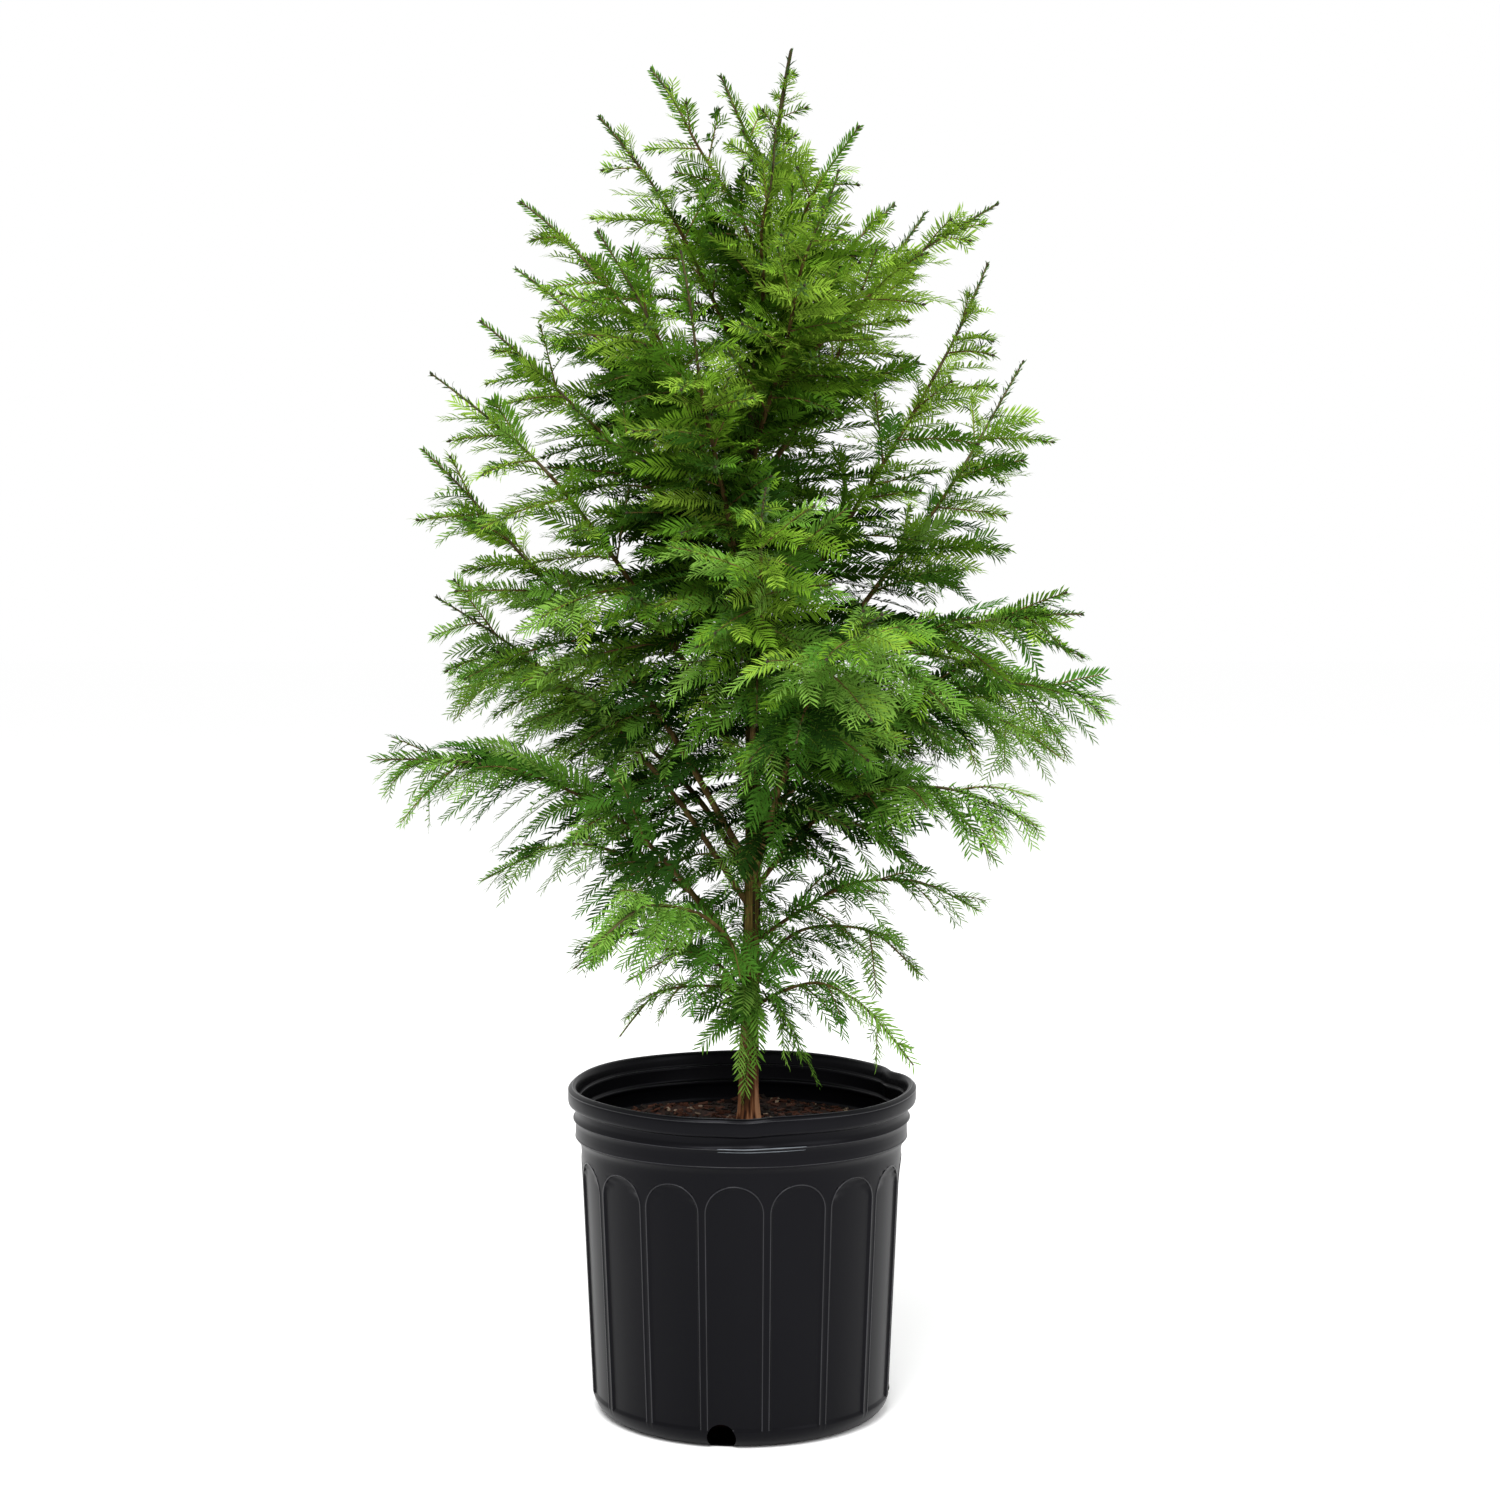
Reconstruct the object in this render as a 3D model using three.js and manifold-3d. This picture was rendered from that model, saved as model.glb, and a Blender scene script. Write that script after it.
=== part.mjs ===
// A young bald cypress in a black nursery pot: pot, potting mix, trunk, bare boughs and masses of needles.
// Millimetres and degrees, +Z up. The origin is the middle of the pot's flat underside, and -Y is its front.
import * as THREE from "three";
import { mergeVertices } from "three/addons/utils/BufferGeometryUtils.js";
import Module from "manifold-3d";

const wasm = await Module();
wasm.setup();

// Pot: a blown plastic container with a rolled rim, a stepped band and arched recesses round its wall
const POT_HEIGHT = 280;
const RIM_RADIUS = 149;
const BAND_RADIUS = 142.5;
const WALL_TOP_RADIUS = 137.3;
const WALL_FOOT_RADIUS = 127.5;
const UNDERSIDE_RADIUS = 118;
const WALL = 3.2;
const FLOOR = 3;
const RIM_HEIGHT = 15;
const BAND_FOOT = 235;
const WALL_TOP = 228;
const WALL_FOOT = 14;
const POT_SEGMENTS = 32;

const PANELS = 16;
const PANEL_PHASE = -2.25;
const PANEL_WIDTH = 43;
const PANEL_FOOT = 16;
const PANEL_TOP = 217;
const PANEL_DEPTH = 1.5;

const DRAIN_HOLES = 4;
const DRAIN_PHASE = -7.3;
const DRAIN_RADIUS = 12;
const DRAIN_HEIGHT = 9;

// Potting mix: fills the pot to well below its rim, with a flat place at the trunk
const SOIL_LEVEL = 243;
const SOIL_EDGE_DROP = 4;
const SOIL_FLAT_RADIUS = 40;

// Trunk: sways a little, and its leader leans to the right
const TREE_HEIGHT = 911;
const TRUNK_HEIGHT = 793;
const TRUNK_RADIUS = 8.3;
const LEADER_RADIUS = 1.4;
const TAPER_POWER = 0.9;
const ROOT_FLARE = 3;
const FLARE_HEIGHT = 13;
const FLARE_LOBES = 5;
const FLARE_LOBE_SHARE = 0.25;
const TRUNK_OFFSET = 6;
const SWAY = 2;
const SWAY_LENGTH = 520;
const LEAN = 34;
const LEAN_POWER = 6;
const TRUNK_SIDES = 10;
const TRUNK_ROWS = 14;

// Boughs: each is one bend from the trunk to its tip. foot is its height on the trunk above the soil, and
// azimuth is counted from the right (+X) towards the back. reach is how far its tip lies from the trunk,
// rise is how far the tip lies above the foot, and lift is the slope at which it leaves the trunk. bare is
// the share that carries no leaves: a bough without it is leafy from the trunk on.
const SIDE_BOUGHS = [
  { name: "left_1", foot: 96, azimuth: 207, reach: 122, rise: 9, lift: 52, bare: 0 },
  { name: "left_2", foot: 100, azimuth: 150, reach: 182, rise: 42, lift: 58, bare: 0 },
  { name: "left_3", foot: 121, azimuth: 146, reach: 300, rise: 92, lift: 62, bare: 0 },
  { name: "left_4", foot: 112, azimuth: 187, reach: 316, rise: 220, lift: 68, bare: 0.26 },
  { name: "left_5", foot: 183, azimuth: 180, reach: 268, rise: 274, lift: 58, bare: 0 },
  { name: "left_6", foot: 198, azimuth: 142, reach: 352, rise: 194, lift: 60, bare: 0.24 },
  { name: "left_7", foot: 217, azimuth: 192, reach: 278, rise: 354, lift: 60, bare: 0.27 },
  { name: "left_8", foot: 283, azimuth: 213, reach: 300, rise: 340, lift: 63, bare: 0.27 },
  { name: "left_9", foot: 411, azimuth: 196, reach: 230, rise: 265, lift: 60, bare: 0.24 },
  { name: "left_10", foot: 493, azimuth: 145, reach: 257, rise: 256, lift: 58, bare: 0.23 },
  { name: "left_11", foot: 545, azimuth: 190, reach: 193, rise: 233, lift: 62, bare: 0 },
  { name: "left_12", foot: 611, azimuth: 216, reach: 153, rise: 225, lift: 70, bare: 0 },
  { name: "left_13", foot: 728, azimuth: 186, reach: 94, rise: 164, lift: 66, bare: 0 },
  { name: "top_left", foot: 779, azimuth: 220, reach: 52, rise: 102, lift: 74, bare: 0 },
  { name: "right_1", foot: 94, azimuth: -20, reach: 146, rise: -14, lift: 50, bare: 0 },
  { name: "right_2", foot: 118, azimuth: 38, reach: 197, rise: 14, lift: 52, bare: 0 },
  { name: "right_3", foot: 153, azimuth: 9, reach: 200, rise: 48, lift: 42, bare: 0 },
  { name: "right_4", foot: 198, azimuth: -40, reach: 290, rise: 92, lift: 52, bare: 0.24 },
  { name: "right_5", foot: 238, azimuth: 39, reach: 368, rise: 87, lift: 56, bare: 0 },
  { name: "right_6", foot: 263, azimuth: -3, reach: 302, rise: 113, lift: 54, bare: 0.26 },
  { name: "right_7", foot: 297, azimuth: -29, reach: 298, rise: 146, lift: 50, bare: 0.24 },
  { name: "right_8", foot: 325, azimuth: 36, reach: 308, rise: 345, lift: 42, bare: 0.29 },
  { name: "right_9", foot: 406, azimuth: -10, reach: 200, rise: 321, lift: 50, bare: 0.29 },
  { name: "right_10", foot: 533, azimuth: 38, reach: 198, rise: 262, lift: 54, bare: 0.24 },
  { name: "right_11", foot: 593, azimuth: -36, reach: 238, rise: 165, lift: 48, bare: 0 },
  { name: "right_12", foot: 648, azimuth: 44, reach: 171, rise: 154, lift: 46, bare: 0 },
  { name: "right_13", foot: 693, azimuth: -44, reach: 111, rise: 138, lift: 60, bare: 0 },
];

// The boughs to the front and back follow the side boughs' reach and rise at their own height on the trunk.
const FACING_BOUGHS = 14;
const FACING_LOWEST = 116;
const FACING_HIGHEST = 683;
const FACING_BARE_FROM = 205;
const FACING_BARE_TO = 340;
const FACING_BARE = 0.24;
const FACING_LIFT = 56;
const FACING_FAN = 62;
const BEND = 0.55;

const BOUGH_BASE_RADIUS = 0.7;
const BOUGH_RADIUS_PER_LENGTH = 0.0055;
const BOUGH_TIP_RADIUS = 0.7;
const BOUGH_SIDES = 5;
const BOUGH_ROWS = 3;

// Masses: a three-sided stem that goes on from its bough, with flat toothed sprays of needles set round it
const STEM_SIDES = 3;
const STEM_ROWS = 4;
const LEADER_ROWS = 2;
const STEM_OVERLAP = 5;
const SPRAYS_PER_METRE = 32;
const FEWEST_SPRAYS = 6;
const SPRAY_LENGTH = 136;
const SPRAY_TIP_SHARE = 0.52;
const SPRAY_HALF_WIDTH = 0.33;
const SPRAY_THICKNESS = 0.012;
const LONG_SPRAY = 122;
const LONG_SPRAY_TEETH = 3;
const SHORT_SPRAY_TEETH = 2;
const SPRAY_NOTCH = 0.17;
const STALK_SHARE = 0.4;
const TOOTH_SWEEP = 0.2;
const TOOTH_RIB = 0.08;
const NOTCH_SWEEP = -0.04;
const WIDTH_AT_ROOT = 0.36;
const WIDTH_AT_TIP = 0.84;
const SPRAY_NECK = 0.9;
const SPRAY_SPREAD = 50;
const SPREAD_VARIATION = 20;
const ROLL_VARIATION = 150;
const SPRAY_DROOP = 0.1;
const END_SPRAY_LENGTH = 72;
const LEAFLESS_SHARE = 0.12;
const LEAST_VIGOUR = 0.4;
const FULL_VIGOUR_LENGTH = 480;
const TIP_MARGIN = 12;
const TURNS_TRIED = 8;
const GOLDEN_ANGLE = 137.5;
const SEED = 20;

const GAP = 0.3;
const LEAF_GAP = 0.5;
const SHORTEST_EDGE = 0.05;
const UP = new THREE.Vector3(0, 0, 1);

const LOOKS = {
  pot: { color: 0x17181b, roughness: 0.42, metalness: 0 },
  soil: { color: 0x2e1a10, roughness: 0.95, metalness: 0 },
  bark: { color: 0x6b4227, roughness: 0.85, metalness: 0 },
  needles: { color: 0x3f7a22, roughness: 0.6, metalness: 0 },
};

const radians = THREE.MathUtils.degToRad;
const lerp = THREE.MathUtils.lerp;

// A repeatable stream of numbers from 0 to 1.
function randomStream(seed) {
  let state = seed;
  return () => {
    state = (state * 1664525 + 1013904223) % 4294967296;
    return state / 4294967296;
  };
}
const random = randomStream(SEED);

// A closed geometry as a solid that can be joined and cut.
function solidOf(geometry) {
  const bare = geometry.clone();
  bare.deleteAttribute("normal");
  bare.deleteAttribute("uv");
  const merged = mergeVertices(bare, 1e-4);
  return new wasm.Manifold(
    new wasm.Mesh({
      numProp: 3,
      vertProperties: merged.attributes.position.array,
      triVerts: new Uint32Array(merged.index.array),
    }),
  );
}

// A solid as a geometry to show.
function geometryOf(solid) {
  const mesh = solid.getMesh();
  const geometry = new THREE.BufferGeometry();
  geometry.setAttribute("position", new THREE.BufferAttribute(new Float32Array(mesh.vertProperties), 3));
  geometry.setIndex(new THREE.BufferAttribute(new Uint32Array(mesh.triVerts), 1));
  geometry.computeVertexNormals();
  return geometry;
}

function piece(name, solid, look) {
  const mesh = new THREE.Mesh(geometryOf(solid), new THREE.MeshStandardMaterial(look));
  mesh.name = name;
  return mesh;
}

// A solid of revolution about Z from [radius, height] points, its facets in step with the pot's panels.
function turned(profile, segments) {
  const points = profile.map(([radius, height]) => new THREE.Vector2(radius, height));
  const lathe = new THREE.LatheGeometry(points, segments).rotateX(Math.PI / 2);
  return solidOf(lathe.rotateZ(radians(PANEL_PHASE)));
}

// Pot

// The wall's outer radius at a height between its foot and its top.
function wallRadius(height) {
  return lerp(WALL_FOOT_RADIUS, WALL_TOP_RADIUS, (height - WALL_FOOT) / (WALL_TOP - WALL_FOOT));
}

// The pot's section: up the outside by the foot's corner, the step and the rolled rim, and down the inside.
function potProfile() {
  const rimFoot = POT_HEIGHT - RIM_HEIGHT;
  const cornerRise = WALL_FOOT - 5;
  const outside = [
    [UNDERSIDE_RADIUS, 0],
    [WALL_FOOT_RADIUS - 3.5, 3],
    [WALL_FOOT_RADIUS - 0.8, cornerRise],
    [WALL_FOOT_RADIUS, WALL_FOOT],
    [WALL_TOP_RADIUS, WALL_TOP],
    [BAND_RADIUS - 1, BAND_FOOT],
    [BAND_RADIUS, rimFoot - 1],
    [RIM_RADIUS - 1, rimFoot + 3],
    [RIM_RADIUS, rimFoot + 7],
    [RIM_RADIUS - 2, POT_HEIGHT - 3],
    [RIM_RADIUS - 5, POT_HEIGHT],
  ];
  const inside = [
    [BAND_RADIUS - WALL, POT_HEIGHT - 6],
    [BAND_RADIUS - WALL, BAND_FOOT + 1],
    [WALL_TOP_RADIUS - WALL, WALL_TOP],
    [WALL_FOOT_RADIUS - WALL, WALL_FOOT],
    [UNDERSIDE_RADIUS - 1, FLOOR],
  ];
  return [[0, 0], ...outside, ...inside, [0, FLOOR]];
}

// An upright arch: a rectangle with a half round on top, pushed through the wall at the panel's place.
function panelCutter(azimuth) {
  const half = PANEL_WIDTH / 2;
  const arch = new THREE.Shape();
  arch.moveTo(-half, PANEL_FOOT);
  arch.lineTo(half, PANEL_FOOT);
  arch.absarc(0, PANEL_TOP - half, half, 0, Math.PI, false);
  arch.closePath();
  const depth = WALL_TOP_RADIUS + 10;
  const prism = new THREE.ExtrudeGeometry(arch, { depth, bevelEnabled: false, curveSegments: 2 });
  return solidOf(prism.rotateX(Math.PI / 2).rotateZ(radians(azimuth)));
}

function recessCutters() {
  const inner = turned(
    [
      [0, 0],
      [wallRadius(0) - PANEL_DEPTH, 0],
      [wallRadius(POT_HEIGHT) - PANEL_DEPTH, POT_HEIGHT],
      [0, POT_HEIGHT],
    ],
    POT_SEGMENTS,
  );
  const pitch = 360 / PANELS;
  const arches = Array.from({ length: PANELS }, (_, i) => panelCutter(PANEL_PHASE + i * pitch));
  return wasm.Manifold.union(arches).subtract(inner);
}

function drainCutter(azimuth) {
  const depth = WALL_FOOT_RADIUS * 0.3;
  const hole = new THREE.CylinderGeometry(DRAIN_RADIUS, DRAIN_RADIUS, depth, 10);
  hole.translate(0, -WALL_FOOT_RADIUS, DRAIN_HEIGHT);
  return solidOf(hole.rotateZ(radians(azimuth)));
}

function makePot() {
  const pitch = 360 / DRAIN_HOLES;
  const drains = Array.from({ length: DRAIN_HOLES }, (_, i) => drainCutter(DRAIN_PHASE + i * pitch));
  return turned(potProfile(), POT_SEGMENTS).subtract(recessCutters()).subtract(wasm.Manifold.union(drains));
}

function makeSoil() {
  const edge = SOIL_LEVEL - SOIL_EDGE_DROP;
  return turned(
    [
      [0, FLOOR + GAP],
      [UNDERSIDE_RADIUS - 1 - GAP, FLOOR + GAP],
      [WALL_FOOT_RADIUS - WALL - GAP, WALL_FOOT],
      [WALL_TOP_RADIUS - WALL - GAP, WALL_TOP],
      [WALL_TOP_RADIUS - WALL - GAP, edge],
      [SOIL_FLAT_RADIUS, SOIL_LEVEL],
      [0, SOIL_LEVEL],
    ],
    POT_SEGMENTS,
  );
}

// Trunk and boughs

function trunkPoint(height) {
  const turn = (2 * Math.PI * height) / SWAY_LENGTH;
  return new THREE.Vector3(
    TRUNK_OFFSET + SWAY * (1 - Math.cos(turn)) + LEAN * (height / TREE_HEIGHT) ** LEAN_POWER,
    SWAY * (1 - Math.cos(turn * 0.8)),
    SOIL_LEVEL + height,
  );
}

function trunkRadius(height) {
  const left = Math.max(0, 1 - height / TREE_HEIGHT);
  return LEADER_RADIUS + (TRUNK_RADIUS - LEADER_RADIUS) * left ** TAPER_POWER;
}

// The trunk's axis between two heights above the soil.
class TrunkAxis extends THREE.Curve {
  constructor(from, to) {
    super();
    this.from = from;
    this.to = to;
  }

  getPoint(t, target = new THREE.Vector3()) {
    return target.copy(trunkPoint(lerp(this.from, this.to, t)));
  }
}

// A closed limb along a curve between two shares of it. radiusAt takes the share and the angle round it.
function limb(curve, from, to, radiusAt, sides, rows) {
  const geometry = new THREE.CylinderGeometry(1, 1, 1, sides, rows);
  const position = geometry.attributes.position;
  for (let i = 0; i < position.count; i++) {
    const share = lerp(from, to, position.getY(i) + 0.5);
    const along = curve.getTangent(share);
    const side = new THREE.Vector3(1, 0, 0.01).cross(along).normalize();
    const across = along.clone().cross(side);
    const radius = radiusAt(share, Math.atan2(position.getZ(i), position.getX(i)));
    const place = curve.getPoint(share);
    place.addScaledVector(side, position.getX(i) * radius);
    place.addScaledVector(across, -position.getZ(i) * radius);
    position.setXYZ(i, place.x, place.y, place.z);
  }
  return solidOf(geometry);
}

// The trunk grown by a margin all round. Its rows crowd towards the root flare.
function makeTrunk(margin) {
  const axis = new TrunkAxis(GAP - margin, TRUNK_HEIGHT + margin);
  const crowded = { getPoint: (t) => axis.getPoint(t ** 2), getTangent: (t) => axis.getTangent(t ** 2) };
  const radiusAt = (share, angle) => {
    const height = TRUNK_HEIGHT * share ** 2;
    const lobe = 1 + FLARE_LOBE_SHARE * Math.sin(FLARE_LOBES * angle);
    return trunkRadius(height) + ROOT_FLARE * lobe * Math.exp(-height / FLARE_HEIGHT) + margin;
  };
  return limb(crowded, 0, 1, radiusAt, TRUNK_SIDES, TRUNK_ROWS);
}

function boughCurve({ foot, azimuth, reach, rise, lift }) {
  const start = trunkPoint(foot);
  const out = new THREE.Vector3(Math.cos(radians(azimuth)), Math.sin(radians(azimuth)), 0);
  const knee = BEND * Math.hypot(reach, rise);
  const middle = start.clone().addScaledVector(out, knee * Math.cos(radians(lift)));
  middle.addScaledVector(UP, knee * Math.sin(radians(lift)));
  const tip = start.clone().addScaledVector(out, reach).addScaledVector(UP, rise);
  return new THREE.QuadraticBezierCurve3(start, middle, tip);
}

function boughRadius(length) {
  const foot = BOUGH_BASE_RADIUS + BOUGH_RADIUS_PER_LENGTH * length;
  return (share) => lerp(foot, BOUGH_TIP_RADIUS, share);
}

// The side boughs' value of a size at a height on the trunk, between the nearest boughs below and above.
function sideSize(size, height) {
  const boughs = SIDE_BOUGHS.toSorted((a, b) => a.foot - b.foot);
  const above = Math.max(1, boughs.findIndex((bough) => bough.foot >= height));
  const [low, high] = [boughs[above - 1], boughs[above]];
  return lerp(low[size], high[size], (height - low.foot) / (high.foot - low.foot));
}

function facingBoughs() {
  return Array.from({ length: FACING_BOUGHS }, (_, i) => {
    const foot = lerp(FACING_LOWEST, FACING_HIGHEST, i / (FACING_BOUGHS - 1));
    const front = i % 2 === 0;
    const fan = FACING_FAN * (((i * GOLDEN_ANGLE) / 360) % 1) - FACING_FAN / 2;
    const leafyFromTrunk = foot < FACING_BARE_FROM || foot > FACING_BARE_TO;
    return {
      name: (front ? "front_" : "back_") + (Math.floor(i / 2) + 1),
      foot,
      azimuth: (front ? 270 : 90) + fan,
      reach: sideSize("reach", foot),
      rise: sideSize("rise", foot),
      lift: FACING_LIFT,
      bare: leafyFromTrunk ? 0 : FACING_BARE,
    };
  });
}

// Masses

// A toothed spray of needles, flat below and thickest along its rib. The rib leaves the root along a
// direction and droops, and its upper side turns to `facing`. margin grows it all round.
function spray(root, direction, facing, length, margin) {
  const side = direction.clone().cross(facing).normalize();
  const normal = side.clone().cross(direction).normalize();
  const half = length * SPRAY_HALF_WIDTH + margin;
  const rib = length * SPRAY_THICKNESS + 2 * margin;
  const teeth = length > LONG_SPRAY ? LONG_SPRAY_TEETH : SHORT_SPRAY_TEETH;
  // Outline in pairs from the root to the tip, a notch before each tooth but the first
  const points = [];
  const add = (along, across, above) => {
    const point = root.clone().addScaledVector(direction, along * (length + margin));
    point.addScaledVector(side, across).addScaledVector(normal, above - rib / 3);
    return points.push(point.addScaledVector(UP, -SPRAY_DROOP * length * along ** 2)) - 1;
  };
  const addPair = (along, across, ribPoint) => {
    return { left: add(along, across, 0), right: add(along, -across, 0), rib: ribPoint };
  };
  const pairs = [addPair(0, SPRAY_NECK + margin, add(0, 0, rib))];
  for (let k = 0; k < teeth; k++) {
    const start = (k + STALK_SHARE) / (teeth + STALK_SHARE);
    const width = half * Math.sin(Math.PI * lerp(WIDTH_AT_ROOT, WIDTH_AT_TIP, k / (teeth - 1)));
    const ribPoint = add(start + TOOTH_RIB, 0, rib);
    if (k) pairs.push(addPair(start + NOTCH_SWEEP, half * SPRAY_NOTCH, ribPoint));
    pairs.push(addPair(start + TOOTH_SWEEP, width, ribPoint));
  }
  const tip = add(1, 0, 0);
  pairs.push({ left: tip, right: tip, rib: pairs.at(-1).rib });
  const faces = [[pairs[0].left, pairs[0].rib, pairs[0].right]];
  const face = (...corners) => {
    if (new Set(corners).size === 3) faces.push(corners);
  };
  pairs.slice(1).forEach((far, i) => {
    const near = pairs[i];
    face(near.left, far.left, far.rib);
    face(near.left, far.rib, near.rib);
    face(near.right, far.rib, far.right);
    face(near.right, near.rib, far.rib);
    face(near.left, near.right, far.right);
    face(near.left, far.right, far.left);
  });
  const geometry = new THREE.BufferGeometry().setFromPoints(points);
  geometry.setIndex(faces.flat());
  return solidOf(geometry);
}

// Where a mass's sprays stand: one on the end of its stem, and the rest along the stem in golden-angle
// turns, longest by the trunk. None reaches past the bough's own tip.
function sprayPlaces({ from, end, length }) {
  const count = Math.max(FEWEST_SPRAYS, Math.round((length * (end - from) * SPRAYS_PER_METRE) / 1000));
  const firstTurn = random() * 360;
  const places = Array.from({ length: count }, (_, j) => {
    const share = lerp(Math.max(from, LEAFLESS_SHARE), end, (j + 0.2 + 0.6 * random()) / count);
    const spread = SPRAY_SPREAD + SPREAD_VARIATION * (random() - 0.5);
    const vigour = Math.min(1, LEAST_VIGOUR + length / FULL_VIGOUR_LENGTH);
    const grown = SPRAY_LENGTH * vigour * lerp(1, SPRAY_TIP_SHARE, share) * lerp(0.88, 1.12, random());
    const room = (length * (1 - share) + TIP_MARGIN) / Math.cos(radians(spread));
    const roll = ROLL_VARIATION * (random() - 0.5);
    return { share, turn: firstTurn + j * GOLDEN_ANGLE, spread, roll, size: Math.min(grown, room) };
  });
  const endRoll = ROLL_VARIATION * (random() - 0.5);
  return [{ share: end, turn: 0, spread: 0, roll: endRoll, size: length * (1 - end) }, ...places];
}

// A spray at its place on the stem, turned on by some degrees round the stem.
function standingSpray(curve, place, extraTurn, margin) {
  const along = curve.getTangent(place.share);
  const level = along.clone().cross(UP).normalize();
  const out = level.clone().applyAxisAngle(along, radians(place.turn + extraTurn));
  const direction = along.multiplyScalar(Math.cos(radians(place.spread)));
  direction.addScaledVector(out, Math.sin(radians(place.spread))).normalize();
  const facing = level.cross(direction).lengthSq() > 0.01 ? level : UP.clone();
  facing.applyAxisAngle(direction, radians(place.roll));
  return spray(curve.getPoint(place.share), direction, facing, place.size, margin);
}

function boxesMeet(a, b) {
  return [0, 1, 2].every((k) => a.min[k] <= b.max[k] && b.min[k] <= a.max[k]);
}

// True if a grown spray stays clear of everything that stands, but for the stem it grows on.
function isClear(grown, stem, standing) {
  const box = grown.boundingBox();
  return standing.every((other) => {
    return other.solid === stem || !boxesMeet(box, other.box) || grown.intersect(other.solid).isEmpty();
  });
}

// A fused or cut solid without loose scraps and without edges too short to matter.
function oneBody(solid) {
  const largest = solid.decompose().toSorted((a, b) => b.volume() - a.volume())[0];
  return largest.asOriginal().simplify(SHORTEST_EDGE);
}

// Every bough's bare limb and every mass's stem come first, then the sprays, each kept where it is clear.
function makeCrown(trunk, trunkRoom) {
  const standing = [];
  const keep = (solid) => standing.push({ solid, box: solid.boundingBox() });
  keep(trunk);
  const limbs = [];
  const masses = [];
  for (const bough of [...SIDE_BOUGHS, ...facingBoughs()]) {
    const curve = boughCurve(bough);
    const length = curve.getLength();
    const radiusAt = boughRadius(length);
    const from = bough.bare ? bough.bare + GAP / length : 0;
    if (bough.bare) {
      const bare = limb(curve, 0, bough.bare, radiusAt, BOUGH_SIDES, BOUGH_ROWS).subtract(trunkRoom);
      limbs.push({ node: "bough_" + bough.name, solid: oneBody(bare) });
    }
    const end = 1 - END_SPRAY_LENGTH / length;
    const stem = limb(curve, from, end + STEM_OVERLAP / length, radiusAt, STEM_SIDES, STEM_ROWS);
    const parts = [oneBody(stem.subtract(trunkRoom))];
    masses.push({ node: "foliage_" + bough.name, curve, length, from, end, parts });
  }
  const curve = new TrunkAxis(TRUNK_HEIGHT + GAP, TREE_HEIGHT);
  const length = curve.getLength();
  const end = 1 - END_SPRAY_LENGTH / length;
  const radiusAt = (share) => trunkRadius(lerp(TRUNK_HEIGHT, TREE_HEIGHT, share));
  const stem = limb(curve, 0, end + STEM_OVERLAP / length, radiusAt, STEM_SIDES, LEADER_ROWS);
  masses.push({ node: "foliage_leader", curve, length, from: 0, end, parts: [stem] });

  limbs.forEach(({ solid }) => keep(solid));
  masses.forEach(({ parts }) => keep(parts[0]));
  masses.forEach((mass) => (mass.places = sprayPlaces(mass)));
  const rounds = Math.max(...masses.map((mass) => mass.places.length));
  for (let round = 0; round < rounds; round++) {
    for (const mass of masses.filter(({ places }) => round < places.length)) {
      const place = mass.places[round];
      const turns = Array.from({ length: TURNS_TRIED }, (_, i) => (i * 360) / TURNS_TRIED);
      const turn = turns.find((extra) => {
        return isClear(standingSpray(mass.curve, place, extra, LEAF_GAP), mass.parts[0], standing);
      });
      if (turn === undefined) continue;
      const solid = standingSpray(mass.curve, place, turn, 0);
      mass.parts.push(solid);
      keep(solid);
    }
  }
  return { limbs, masses };
}

const trunk = makeTrunk(0);
const { limbs, masses } = makeCrown(trunk, makeTrunk(GAP));

const tree = new THREE.Group();
tree.add(piece("trunk", trunk, LOOKS.bark));
limbs.forEach(({ node, solid }) => tree.add(piece(node, solid, LOOKS.bark)));
masses.forEach(({ node, parts }) => {
  tree.add(piece(node, oneBody(wasm.Manifold.union(parts)), LOOKS.needles));
});

const container = new THREE.Group();
container.add(piece("pot", oneBody(makePot()), LOOKS.pot));
container.add(piece("soil", makeSoil(), LOOKS.soil));

const pottedTree = new THREE.Group();
pottedTree.add(container, tree);
export default pottedTree;
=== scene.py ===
import math

import bpy
import numpy as np
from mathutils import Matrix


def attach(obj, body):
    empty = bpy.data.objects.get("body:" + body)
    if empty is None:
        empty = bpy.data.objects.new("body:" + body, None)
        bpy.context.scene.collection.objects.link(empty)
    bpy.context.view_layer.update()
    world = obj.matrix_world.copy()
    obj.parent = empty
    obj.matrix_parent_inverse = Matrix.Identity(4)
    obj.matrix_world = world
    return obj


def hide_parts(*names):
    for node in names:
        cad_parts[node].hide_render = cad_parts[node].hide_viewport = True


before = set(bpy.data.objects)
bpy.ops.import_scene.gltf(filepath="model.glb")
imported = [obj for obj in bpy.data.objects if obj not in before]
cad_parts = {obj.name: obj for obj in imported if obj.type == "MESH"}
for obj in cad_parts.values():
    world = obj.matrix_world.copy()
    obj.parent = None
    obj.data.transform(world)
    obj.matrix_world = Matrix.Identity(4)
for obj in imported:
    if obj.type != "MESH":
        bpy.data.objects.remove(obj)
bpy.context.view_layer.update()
rng = np.random.default_rng(20)

# Lengths are in millimetres and angles in degrees. Heights in the crown are shares of the tree's height.
MM = 0.001
METRE = 1000.0
TINY = 1e-9
ANY_PHASE = 6.28
UP = np.array([0.0, 0.0, 1.0])
NEARLY_UP = UP + 1e-3
LEVEL = np.array([1.0, 1.0, 0.0])
GOLDEN_ANGLE = 137.5

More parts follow.
